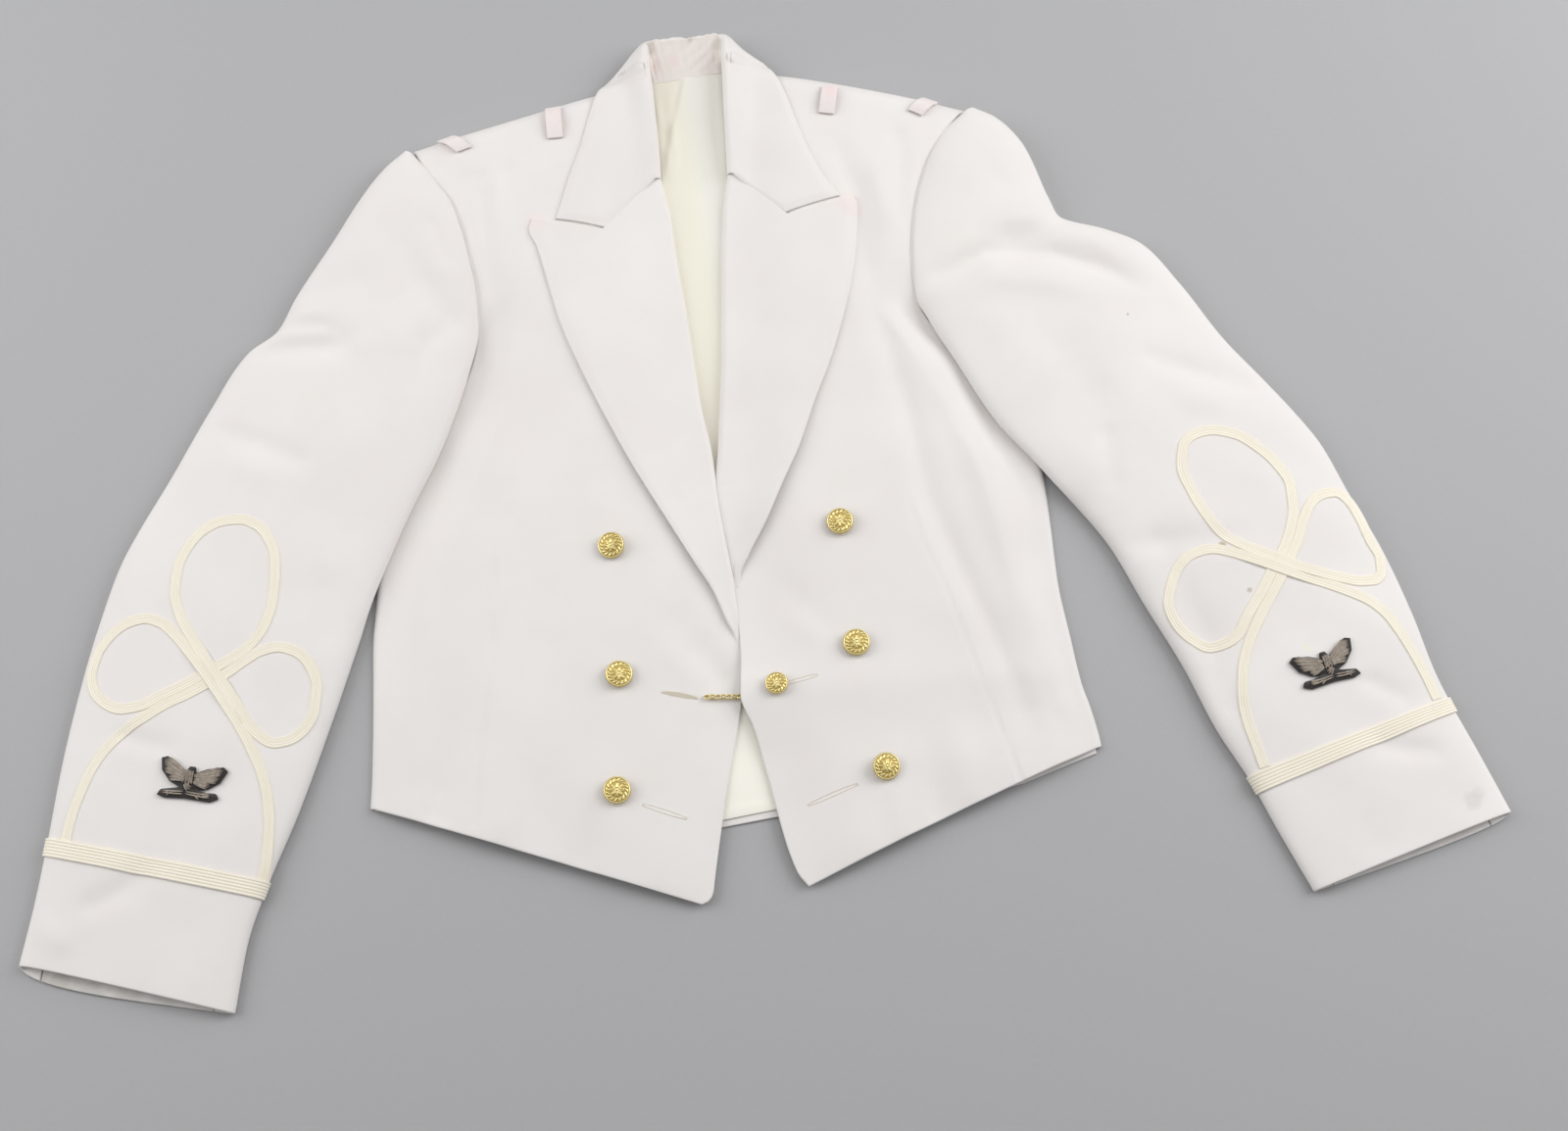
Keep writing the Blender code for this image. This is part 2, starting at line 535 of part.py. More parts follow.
def front(name, table):
    """A front: swollen at the chest, turned down at the shoulder and the side.

    Its height is the low shelf by the side, rising to the crown and thinning
    again to the front edge, times quarter circles at the seams that close it.
    """
    along = stations(length_of(table), SHOULDER_CURL, 19)
    row = read(table, FRONT_COLUMNS, along)
    side = np.stack([row["side_x"], row["side_y"]], axis=-1)
    edge = np.stack([row["edge_x"], row["edge_y"]], axis=-1)
    width = np.linalg.norm(edge - side, axis=-1)
    near_side = np.array((0, 0.5, 1.7, 4.0, 14, 26, 40, 60.0))
    near_edge = np.array((60, 36, 18, 7, 0.0))
    middle = np.array((0.46, 0.6))
    reach = np.concatenate([np.tile(near_side, (len(along), 1)), width[:, None] * middle,
                            width[:, None] - near_edge], axis=1)
    share = reach / width[:, None]
    plan = across(side, edge, share)
    plan[..., 1] += row["bow"][:, None] * np.sin(math.pi * share)
    column = {key: value[:, None] for key, value in row.items()}
    swell = smooth((reach - column["shelf"]) / CHEST_RISE)
    height = column["side_z"] + (column["crown"] - column["side_z"]) * swell
    inward = smooth((width[:, None] - reach) / EDGE_FALL)
    height = column["edge_z"] + (height - column["edge_z"]) * inward
    height = height * (1 - column["curl"] * (1 - quarter(reach / SIDE_CURL)))
    height = height * quarter(along[:, None] / SHOULDER_CURL)
    return wall(name, np.concatenate([plan, height[..., None]], axis=-1), FACE_WALL, "cloth")


def coons(top, bottom, columns, rows):
    """A patch between two outlines whose matching ends are joined by straight sides."""
    t = np.linspace(0, 1, columns)
    s = np.linspace(0, 1, rows)[:, None, None]
    upper = resample(top, t)
    lower = resample(bottom, t)
    return upper * (1 - s) + lower * s


def resample(points, t):
    """Points of an outline at shares t of its length, corners kept nearly sharp."""
    points = np.array(points, float)
    knots = np.concatenate([[0], np.cumsum(np.linalg.norm(np.diff(points, axis=0), axis=1))])
    return np.stack([np.interp(t * knots[-1], knots, column) for column in points.T], axis=-1)


def back():
    """The back, flat on the table inside the fronts' side seams and armholes."""
    rows = 16
    grid = coons(BACK_TOP, BACK_HEM, 13, rows)
    levels = np.linspace(0, 1, rows)
    for table, column, inset in ((FRONT_RIGHT, 0, 3.2), (FRONT_LEFT, -1, -3.2)):
        points = np.array(table, float)[:, :2]
        knots = np.linalg.norm(np.diff(points, axis=0), axis=1)
        knots = np.concatenate([[0], np.cumsum(knots)]) / knots.sum()
        seam = curve(knots, points, levels)
        shift = seam + np.array([inset, 0]) - grid[:, column]
        shift[0] = shift[-1] = 0
        weight = np.linspace(1, 0, grid.shape[1]) if column == 0 else np.linspace(0, 1, grid.shape[1])
        grid = grid + shift[:, None] * (weight**2)[None, :, None]
    height = np.full(grid.shape[:2] + (1,), BACK_WALL / 2)
    return wall("back", np.concatenate([grid, height], axis=-1), BACK_WALL, "cloth")


def back_lining():
    """The satin inside the back, with its pleat, as far as it shows and a little under."""
    table = np.array(LINING, float)
    levels = np.linspace(0, 1, 15)
    knots = (table[0, 2] - table[:, 2]) / (table[0, 2] - table[-1, 2])
    left, right, level = curve(knots, table, levels).T
    share = np.array((0, 0.2, 0.36, 0.44, 0.5, 0.58, 0.75, 1.0))
    x = left[:, None] * (1 - share) + right[:, None] * share
    near_neck = smooth(1 - (level[0] - level[:, None]) / NECK_DEEP)
    y = level[:, None] + NECK_SLANT * near_neck * (x - left[0])
    pleat = PLEAT_TOP[0] - PLEAT_SLANT * (PLEAT_TOP[1] - y)
    fade = smooth((y - PLEAT_FOOT) / PLEAT_FADE)
    height = LINING_Z + PLEAT_HIGH * fade * np.exp(-((x - pleat) / PLEAT_WIDE) ** 2)
    return wall("back_lining", np.stack([x, y, height], axis=-1), LINING_WALL, "lining")


def lapel(name, table, notch, towards, under):
    """A lapel: rolled round the front's edge, towards its side, and laid on the front."""
    row = read(table, LAPEL_COLUMNS, np.linspace(0, length_of(table), 14))
    roll_line = np.stack([row["roll_x"], row["roll_y"]], axis=-1)
    outer = np.stack([row["outer_x"], row["outer_y"]], axis=-1)
    facing = np.tile(towards, (len(outer), 1))
    radius = ROLL * row["roll"]
    centre = roll_line + facing * (radius + FACE_WALL / 2)[:, None]
    surface = Surface(under)
    inside = centre + facing * 1.5
    level = surface.heights(inside, 1.0) - FACE_WALL / 2
    angles = np.radians(ROLL_ANGLES)
    turn_xy = centre[:, None] - facing[:, None] * (radius[:, None] * np.cos(angles))[..., None]
    turn_z = level[:, None] + radius[:, None] * np.sin(angles)
    turn = np.concatenate([turn_xy, turn_z[..., None]], axis=-1)
    share = np.tile(np.array((0.0, 0.16, notch, 0.72, 1.0)), (len(outer), 1))
    plan = across(centre, outer, share, row["dip"], notch)
    rest = np.linalg.norm(plan - centre[:, None], axis=-1)
    lift = LAID_GAP + FACE_WALL / 2 + ROLL_LIFT * np.exp(-rest / ROLL_SOFT)
    height = surface.heights(plan, 4.0) + lift
    height[:, 0] = np.maximum(height[:, 0] - 1.0, level + radius)
    laid = np.concatenate([plan, height[..., None]], axis=-1)
    return wall(name, np.concatenate([turn, laid], axis=1), FACE_WALL, "cloth")


def collar(*under):
    """The collar's fall: rolled at the fold, over the shoulders and behind the neck."""
    table = np.array(COLLAR, float)
    middle = table[:, 3:5]
    knots = np.concatenate([[0], np.cumsum(np.linalg.norm(np.diff(middle, axis=0), axis=1))])
    at = np.linspace(0, knots[-1], 29)
    row = dict(zip(COLLAR_COLUMNS, curve(knots, table, at).T))
    fold = np.stack([row["fold_x"], row["fold_y"]], axis=-1)
    mid = np.stack([row["mid_x"], row["mid_y"]], axis=-1)
    edge = np.stack([row["edge_x"], row["edge_y"]], axis=-1)
    outward = unit(mid - fold)
    centre = fold + outward * (ROLL + FACE_WALL / 2)
    angles = np.radians(ROLL_ANGLES[1:])
    turn_xy = centre[:, None] - outward[:, None] * (ROLL * np.cos(angles))[None, :, None]
    turn_z = row["fold_z"][:, None] + ROLL * np.sin(angles)[None]
    first = np.concatenate([turn_xy[:, :1], (turn_z[:, :1] - row["drop"][:, None])[..., None]], axis=-1)
    turn = np.concatenate([first, np.concatenate([turn_xy, turn_z[..., None]], axis=-1)], axis=1)
    s = np.array((0.0, 0.2, COLLAR_MID, 0.76, 1.0))
    at_fold = ((1 - s) * (1 - 2 * s))[None, :, None]
    at_mid = (4 * s * (1 - s))[None, :, None]
    at_edge = (s * (2 * s - 1))[None, :, None]
    top = np.concatenate([centre, (row["fold_z"] + ROLL)[:, None]], axis=-1)
    mid3 = np.concatenate([mid, row["mid_z"][:, None]], axis=-1)
    edge3 = np.concatenate([edge, row["edge_z"][:, None]], axis=-1)
    body = top[:, None] * at_fold + mid3[:, None] * at_mid + edge3[:, None] * at_edge
    tent = np.minimum(s / COLLAR_MID, (1 - s) / (1 - COLLAR_MID))
    body[..., 1] -= row["dip"][:, None] * tent
    surface = Surface(*under)
    floor = surface.heights(body[..., :2], 6.0) + LAID_GAP + FACE_WALL / 2
    lies = np.abs(np.linspace(-1, 1, len(at)))[:, None] > COLLAR_LIES
    body[..., 2] = np.where(lies, floor, np.maximum(body[..., 2], floor))
    body[:, 0, 2] = top[:, 2]
    return wall("collar", np.concatenate([turn, body], axis=1), FACE_WALL, "cloth")


def collar_stand():
    """The stand, leaning back from the neck seam to the fold."""
    table = np.array(STAND, float)
    knots = np.linspace(0, 1, len(table))
    seam_x, seam_y, top_x, top_y = curve(knots, table, np.linspace(0, 1, 15)).T
    s = np.linspace(0, 1, 5)
    x = seam_x[:, None] * (1 - s) + top_x[:, None] * s
    y = seam_y[:, None] * (1 - s) + top_y[:, None] * s
    z = STAND_FOOT + STAND_RISE * s**STAND_LEAN + 0 * x
    return wall("collar_stand", np.stack([x, y, z], axis=-1), STAND_WALL, "cloth")


def fold_depth(folds, at, share):
    """How deep the folds are: a bell across each, fading at both of its ends."""
    depth = np.zeros((len(at), share.shape[1]))
    for down, deep, wide, start, end, slant in folds:
        middle = down + slant * (share - 0.3)
        along = smooth((share - start) / 0.25) * smooth((end - share) / 0.25)
        depth += deep * along * np.exp(-(((at[:, None] - middle) / wide) ** 2))
    return depth


def sleeve_stations(table, folds):
    """Even rows down a sleeve, and rows at its deep fold and under the cuff braid."""
    total = length_of(table)
    down, _, wide = folds[0][:3]
    fold = down + np.array((-0.7, 0, 0.7)) * wide
    band = total - BAND_UP + np.array((-0.6, 0.6)) * BAND_WIDE
    even = np.linspace(0, total, 20)
    apart = np.abs(even[:, None] - np.concatenate([fold, band])[None]).min(axis=1) > 9
    return np.sort(np.concatenate([even[apart], fold, band]))


def sleeve_point(row, share, height):
    outer = np.stack([row["outer_x"], row["outer_y"]], axis=-1)
    inner = np.stack([row["inner_x"], row["inner_y"]], axis=-1)
    plan = across(outer, inner, share)
    return np.concatenate([plan, height[..., None]], axis=-1)


def top_sleeve_grid(table, folds, at):
    """The top sleeve's middle surface: tucked under, up the fold, over and down.

    Between the folds its height is the crown times a low power of the sine.
    """
    row = read(table, SLEEVE_COLUMNS, at)
    width = np.hypot(row["inner_x"] - row["outer_x"], row["inner_y"] - row["outer_y"])[:, None]
    angle = np.radians(TUBE_ANGLES)
    over = (1 - np.cos(angle))[None] / 2 * width
    arch = np.sin(angle)[None] ** TUBE_POWER
    crown, foot = row["crown"][:, None], row["foot"][:, None]
    ground = np.where(angle[None] > math.pi / 2, foot, TABLE_Z)
    height = ground + (crown - ground) * arch
    height = height - fold_depth(folds, at, over / width) * arch**2
    narrow = np.minimum(1, width / 60)
    low = np.array((TUCK, 4.0, 1.0, 0.1))[None] * narrow
    rise = np.array((0, 0, 0.5, 2.4))[None]
    start_z = TABLE_Z + rise + 0 * width
    end_rise = np.minimum(rise[:, ::-1], (crown - foot) * 0.35 * rise[:, ::-1] / 2.4)
    end_z = foot + end_rise
    reach = np.concatenate([low, over, width - low[:, ::-1]], axis=1)
    height = np.concatenate([start_z, height, end_z], axis=1)
    return sleeve_point(row, reach / width, height)


def under_sleeve_grid(table, at):
    """The under sleeve: on the table, and stepping up where it lies over the body."""
    row = read(table, SLEEVE_COLUMNS, at)
    width = np.hypot(row["inner_x"] - row["outer_x"], row["inner_y"] - row["outer_y"])
    narrow = np.minimum(1, width / 60)
    start = TUCK * narrow + 0.5
    end = width - row["under_in"] * narrow
    span = end - start
    level = np.maximum(row["over"] - row["under_in"], 0) + 3
    level = np.minimum(level, 0.3 * span)
    foot = np.minimum(level + 18, 0.6 * span)
    slope = np.linspace(1, 0, 4)[None] * foot[:, None] + np.linspace(0, 1, 4)[None] * level[:, None]
    reach = np.concatenate([start[:, None], (start + 0.2 * span)[:, None], end[:, None] - slope,
                            end[:, None]], axis=1)
    climb = np.array((0, 0, 0, 0.26, 0.74, 1.0, 1.0))[None]
    height = TABLE_Z + (row["under_z"] - TABLE_Z)[:, None] * climb
    share = reach / width[:, None]
    points = sleeve_point(row, share, height)
    points[..., 1] -= row["bow"][:, None] * np.sin(math.pi * (reach - start[:, None]) / span[:, None])
    return points


def sleeve(side, table, folds):
    at = sleeve_stations(table, folds)
    top = wall("top_sleeve_" + side, top_sleeve_grid(table, folds, at), FACE_WALL, "cloth")
    wall("under_sleeve_" + side, under_sleeve_grid(table, at), FACE_WALL, "cloth")
    return top


def cuff_braid(side, table, folds):
    """Ribbed braid round the cuff: the sleeve's own points, moved out, with four ribs."""
    total = length_of(table)
    width = np.linspace(-0.5, 0.5, 9) * BAND_WIDE
    grid = top_sleeve_grid(table, folds, total - BAND_UP + width)[:, 3:-3]
    out = normals(grid)
    middle = grid + out * (FACE_WALL / 2 + GAP + BAND_SLACK + BRAID_WALL / 2)
    ribs = np.where(np.arange(len(grid)) % 2, RIB_HIGH, 0.0)[:, None, None]
    wall("cuff_braid_" + side, middle, BRAID_WALL, "braid", ribs)


def knot_braid(side, table, under):
    """One length of soutache on the sleeve, raised where it passes over itself."""
    rows = np.array(table, float)
    knots = np.concatenate([[0], np.cumsum(np.linalg.norm(np.diff(rows[:, :2], axis=0), axis=1))])
    path = curve(knots, rows, np.linspace(0, knots[-1], 80))
    along = unit(np.gradient(path[:, :2], axis=0))
    left = np.stack([-along[:, 1], along[:, 0]], axis=-1)
    share = np.array((-0.5, 0, 0.5)) * BRAID_WIDE
    plan = path[:, None, :2] + left[:, None] * share[None, :, None]
    out = GAP + KNOT_SLACK + BRAID_WALL / 2 + (BRAID_WALL + GAP) * path[:, 2]
    grid = Surface(under).laid(plan, np.repeat(out[:, None], 3, axis=1), 0.8)
    crown = np.array((0, KNOT_CROWN, 0))[None, :, None]
    wall("knot_braid_" + side, grid, BRAID_WALL, "braid", crown)


def badge(name, x, y, turn, under):
    """A felt badge with a raised middle, laid on the sleeve."""
    outline = resample(BADGE_OUTLINE + BADGE_OUTLINE[:1], np.linspace(0, 1, 45))[:-1]
    mirror = -1 if "left" in name else 1
    outline = outline * np.array([mirror, 1]) * BADGE_SCALE
    c, s = math.cos(math.radians(turn)), math.sin(math.radians(turn))
    outline = outline @ np.array([[c, s], [-s, c]]) + np.array([x, y])
    surface = Surface(under)
    shape = bmesh.new()
    ring = [shape.verts.new((px * MM, py * MM, 0)) for px, py in outline]
    face = shape.faces.new(ring)
    bmesh.ops.triangulate(shape, faces=[face])
    flat = bpy.data.meshes.new(name + "_flat")
    shape.to_mesh(flat)
    shape.free()
    points = np.array([v.co for v in flat.vertices]) / MM
    faces = [tuple(p.vertices) for p in flat.polygons]
    bpy.data.meshes.remove(flat)
    count = len(points)
    base = surface.laid(points[:, :2], BADGE_GAP)
    top = base + np.array([0, 0, FELT_WALL])
    edges = [(i, (i + 1) % count) for i in range(count)]
    sides = [(a, b, b + count, a + count) for a, b in edges]
    both = [f[::-1] for f in faces] + [tuple(i + count for i in f) for f in faces]
    return mesh_object(name, np.concatenate([base, top]), both + sides, "felt")


def shoulder_loop(name, top_x, top_y, foot_x, foot_y, wide, under):
    """A strap sewn at both ends, a little proud between them."""
    start, end = np.array([top_x, top_y]), np.array([foot_x, foot_y])
    t = np.linspace(0, 1, 8)
    line = start * (1 - t[:, None]) + end * t[:, None]
    way = unit(end - start)
    left = np.array([-way[1], way[0]])
    plan = line[:, None] + left * (np.array((-0.5, 0, 0.5)) * wide)[None, :, None]
    lift = GAP + 0.35 + LOOP_WALL / 2 + LOOP_RISE * np.sin(math.pi * t)[:, None]
    height = Surface(under).heights(plan, 1.5)
    grid = np.concatenate([plan, (height + lift)[..., None]], axis=-1)
    return wall(name, grid, LOOP_WALL, "cloth")


def turned(profile, count):
    """Vertices and faces of a profile of (radius, height) rows turned about Z."""
    angle = np.arange(count) / count * 2 * math.pi
    rings = [np.stack([r * np.cos(angle), r * np.sin(angle), np.full(count, z)], axis=-1)
             for r, z in profile]
    vertices = np.concatenate(rings)
    faces = strip_faces(len(profile), count, closed_columns=True).tolist()
    faces.append(list(range(count))[::-1])
    faces.append([(len(profile) - 1) * count + i for i in range(count)])
    return vertices, faces


def button(name, x, y, radius, tilt_x, tilt_y, under):
    """A gilt dome on its shank, which stands on the cloth."""
    dome = BUTTON_RISE * radius / BUTTON_R
    rim = radius * 0.97
    rim_z = 3.9
    profile = [(SHANK_R, 0.0), (SHANK_R, 2.2), (radius * 0.86, 2.4), (radius, 3.0), (rim, rim_z)]
    for step in (0.8, 0.5, 0.15):
        profile.append((rim * step, rim_z + dome * (1 - step**2) * 0.8))
    vertices, faces = turned(profile, 14)
    tx, ty = math.radians(tilt_x), math.radians(tilt_y)
    tilt_about_x = np.array([[1, 0, 0], [0, math.cos(tx), -math.sin(tx)], [0, math.sin(tx), math.cos(tx)]])
    tilt_about_y = np.array([[math.cos(ty), 0, math.sin(ty)], [0, 1, 0], [-math.sin(ty), 0, math.cos(ty)]])
    vertices = vertices @ (tilt_about_y @ tilt_about_x).T
    level = Surface(under).heights(np.array([[x, y]]), SHANK_R + 0.2)[0]
    vertices = vertices + np.array([x, y, level + BUTTON_LIFT])
    return mesh_object(name, vertices, faces, "gilt")


def chain(under):
    """Oval links, each turned a quarter from the last, from the buttonhole to the edge."""
    start, end = np.array(BUTTONHOLE), np.array(CHAIN_END)
    way = unit(end - start)
    pitch = np.linalg.norm(end - start) / CHAIN_LINKS
    surface = Surface(under)
    half_long = LINK_LONG / 2 - LINK_WIRE / 2
    half_wide = LINK_WIDE / 2 - LINK_WIRE / 2
    count = np.arange(CHAIN_LINKS)
    spots = start + way * pitch * (count[:, None] + 0.5)
    needed = np.maximum(surface.heights(spots, 2.6) + GAP, LINING_Z + CHAIN_FLOOR)
    needed = needed + half_wide * math.sin(math.radians(CHAIN_LEAN)) + LINK_WIRE / 2
    levels = (needed[None] - CHAIN_STEP * np.abs(count[:, None] - count[None])).max(axis=1)
    for number, (spot, level) in enumerate(zip(spots, levels)):
        lean = math.radians(CHAIN_LEAN if number % 2 else -CHAIN_LEAN)
        angle = np.arange(12) / 12 * 2 * math.pi
        oval = np.stack([half_long * np.cos(angle), half_wide * np.sin(angle)], axis=-1)
        tangent = unit(np.gradient(np.concatenate([oval[-1:], oval, oval[:1]]), axis=0)[1:-1])
        outward = np.stack([tangent[:, 1], -tangent[:, 0]], axis=-1)
        around = np.arange(5) / 5 * 2 * math.pi
        wire = LINK_WIRE / 2
        flat = oval[:, None] + outward[:, None] * (wire * np.cos(around))[None, :, None]
        lift = np.tile(wire * np.sin(around), (12, 1))
        along = flat[..., 0]
        side = flat[..., 1] * math.cos(lean) - lift * math.sin(lean)
        up = flat[..., 1] * math.sin(lean) + lift * math.cos(lean)
        x = spot[0] + along * way[0] - side * way[1]
        y = spot[1] + along * way[1] + side * way[0]
        vertices = np.stack([x, y, level + up], axis=-1)
        faces = strip_faces(13, 5, closed_columns=True) % 60
        mesh_object(f"chain_{number + 1}", vertices.reshape(-1, 3), faces, "gilt")


def build():
    for each in list(bpy.data.objects):
        bpy.data.objects.remove(each, do_unlink=True)
    back()
    back_lining()
    right = front("front_right", FRONT_RIGHT)
    left = front("front_left", FRONT_LEFT)
    lapel("lapel_right", LAPEL_RIGHT, NOTCH_RIGHT, (-1.0, -0.12), right)
    lapel("lapel_left", LAPEL_LEFT, NOTCH_LEFT, (1.0, 0.0), left)
    collar(right, left)
    collar_stand()
    top_right = sleeve("right", SLEEVE_RIGHT, FOLDS_RIGHT)
    top_left = sleeve("left", SLEEVE_LEFT, FOLDS_LEFT)
    cuff_braid("right", SLEEVE_RIGHT, FOLDS_RIGHT)
    cuff_braid("left", SLEEVE_LEFT, FOLDS_LEFT)
    knot_braid("right", KNOT_RIGHT, top_right)
    knot_braid("left", KNOT_LEFT, top_left)
    for (name, x, y, turn), under in zip(BADGES, (top_right, top_left)):
        badge(name, x, y, turn, under)
    for name, *sizes in LOOPS:
        shoulder_loop(name, *sizes, right if "right" in name else left)
    for name, *sizes in BUTTONS:
        button(name, *sizes, right if "right" in name else left)
    chain(right)
    for each in bpy.data.objects:
        each.data.transform(Matrix.Translation(Vector(TO_MIDDLE) * MM))


build()
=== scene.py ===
"""The looks of an officer's white mess jacket, laid flat on its back with its sleeves spread.

Plan tables and sizes are in millimetres, with right and left the wearer's. TO_MIDDLE
moves the tables' plan to the middle of the jacket, which is the frame's origin.
"""
import math

import bpy
import numpy as np
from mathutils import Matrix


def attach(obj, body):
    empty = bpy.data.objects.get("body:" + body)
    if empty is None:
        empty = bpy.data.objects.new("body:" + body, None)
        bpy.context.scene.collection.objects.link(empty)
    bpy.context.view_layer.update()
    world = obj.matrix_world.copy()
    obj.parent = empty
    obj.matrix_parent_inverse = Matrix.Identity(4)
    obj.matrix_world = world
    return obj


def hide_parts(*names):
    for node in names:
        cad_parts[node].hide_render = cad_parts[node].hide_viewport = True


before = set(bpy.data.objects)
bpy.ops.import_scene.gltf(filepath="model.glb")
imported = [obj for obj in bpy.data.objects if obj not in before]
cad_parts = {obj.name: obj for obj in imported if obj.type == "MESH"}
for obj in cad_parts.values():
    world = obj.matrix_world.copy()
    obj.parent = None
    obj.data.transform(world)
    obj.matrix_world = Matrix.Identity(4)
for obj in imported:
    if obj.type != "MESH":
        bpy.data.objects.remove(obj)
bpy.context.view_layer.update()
MM = 0.001
TO_MIDDLE = np.array([1.285, 3.885, 0.0])


# The back: one piece of white twill, flat on the table under the fronts. Only its
# hem shows, as slivers below the fronts and as a band in the gap between them.
BACK_WALL = 1.5
BACK_INSET = 3.2
TABLE_CLEAR = 0.02
BACK_TOP = ((-273, 266.5), (-190, 295.2), (-104.6, 324.5), (-95, 330.5), (-70, 335),
            (-44, 339), (-33, 334.8), (55, 318), (142.6, 300.8))
BACK_HEM = ((-275.5, -237), (-244, -240.5), (-155, -250), (-38, -249), (3, -241),
            (107, -236.5), (141, -227), (172, -217.5), (223, -196.5))
BACK_SIDE_RIGHT = ((-275, 269), (-242.3, 221), (-220.3, 141), (-219.5, 116), (-241, 50),
                   (-277, -25), (-282.7, -98), (-281, -150), (-278, -236))
BACK_SIDE_LEFT = ((144, 304), (111.7, 250), (101.2, 178), (103.2, 150), (141, 104),
                  (183, 48), (197, -33), (200.5, -74), (212, -137), (226, -192))


def smooth(x):
    """Rises from 0 to 1 with level ends as x goes from 0 to 1."""
    x = np.clip(x, 0, 1)
    return x * x * (3 - 2 * x)


def quarter(x):
    """A quarter circle: 0 at x = 0, upright there, and 1 from x = 1."""
    return np.sqrt(1 - (1 - np.clip(x, 0, 1)) ** 2)


def unit(vectors):
    """Vectors divided by their lengths."""
    return vectors / np.maximum(np.linalg.norm(vectors, axis=-1, keepdims=True), 1e-9)


def lengths(points):
    """The distance along a line of points, from 0 at the first."""
    return np.concatenate([[0], np.cumsum(np.linalg.norm(np.diff(points, axis=0), axis=1))])


def curve(knots, rows, at):
    """Cubic pieces through a table's rows, with harmonic-mean slopes, so that none overshoots."""
    rate = np.diff(rows, axis=0) / np.diff(knots)[:, None]
    slope = np.zeros_like(rows)
    same = rate[:-1] * rate[1:] > 0
    total = np.where(same, rate[:-1] + rate[1:], 1)
    slope[1:-1] = np.where(same, 2 * rate[:-1] * rate[1:] / total, 0)
    slope[0], slope[-1] = rate[0], rate[-1]
    low = np.clip(np.searchsorted(knots, at, side="right") - 1, 0, len(knots) - 2)
    step = (knots[low + 1] - knots[low])[:, None]
    t = np.clip((at[:, None] - knots[low][:, None]) / step, 0, 1)
    return ((2 * t**3 - 3 * t**2 + 1) * rows[low] + (t**3 - 2 * t**2 + t) * step * slope[low]
            + (3 * t**2 - 2 * t**3) * rows[low + 1] + (t**3 - t**2) * step * slope[low + 1])


def drawn(points, count):
    """Evenly spaced points on a smooth curve through a few points."""
    points = np.array(points, float)
    far = lengths(points[:, :2])
    return curve(far, points, np.linspace(0, far[-1], count))


def normals(grid):
    """The unit normal at each point of a grid, pointing up on the whole."""
    found = unit(np.cross(np.gradient(grid, axis=0), np.gradient(grid, axis=1)))
    return found if found[..., 2].mean() > 0 else -found


def quads(rows, columns, wrap=False):
    """The corners of each cell of a grid of points, row by row, closed on itself if wrapped."""
    index = np.arange(rows * columns).reshape(rows, columns)
    if wrap:
        index = np.concatenate([index, index[:, :1]], axis=1)
    corners = [index[:-1, :-1], index[:-1, 1:], index[1:, 1:], index[1:, :-1]]
    return np.stack(corners, -1).reshape(-1, 4)


def placed(name, data):
    """A new object in the scene."""
    made = bpy.data.objects.new(name, data)
    bpy.context.scene.collection.objects.link(made)
    return made


def add_mesh(name, points, faces, cloth_map, made_of, stands_for=None):
    """A smooth piece from points in millimetres and arrays of its faces' corners.

    It is of one material, takes its finish from a slot and stands for any named solids.
    """
    faces = faces if isinstance(faces, list) else [faces]
    corners = np.concatenate([each.ravel() for each in faces])
    sizes = np.concatenate([np.full(len(each), each.shape[1]) for each in faces])
    mesh = bpy.data.meshes.new(name)
    mesh.vertices.add(len(points))
    mesh.vertices.foreach_set("co", ((points + TO_MIDDLE) * MM).astype(np.float32).ravel())
    mesh.loops.add(len(corners))
    mesh.loops.foreach_set("vertex_index", corners.astype(np.int32))
    mesh.polygons.add(len(sizes))
    mesh.polygons.foreach_set("loop_start", (np.cumsum(sizes) - sizes).astype(np.int32))
    mesh.update(calc_edges=True)
    if cloth_map is not None:
        layer = mesh.uv_layers.new(name="cloth_map")
        layer.data.foreach_set("uv", cloth_map[corners].astype(np.float32).ravel())
    mesh.shade_smooth()
    made = placed(name, mesh)
    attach(made, "root")
    made.data.materials.append(made_of)
    if stands_for is not None:
        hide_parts(*stands_for)
    return made


RIM_STEPS = np.array((0, 0.06, 0.3, 0.65, 1.0))


def edged(grid, rim):
    """The grid with four more lines inside each edge, at RIM_STEPS of the rim's width."""
    for axis in (0, 1):
        turned = np.moveaxis(grid, axis, 0)

        def near(edge, inner):
            gap = np.linalg.norm(inner - edge, axis=-1, keepdims=True)
            reach = np.minimum(rim, 0.6 * gap) / np.maximum(gap, 1e-6)
            return edge + (inner - edge) * RIM_STEPS[:, None, None] * reach

        turned = np.concatenate([near(turned[0], turned[1]), turned[1:-1],
                                 near(turned[-1], turned[-2])[::-1]])
        grid = np.moveaxis(turned, 0, axis)
    return grid


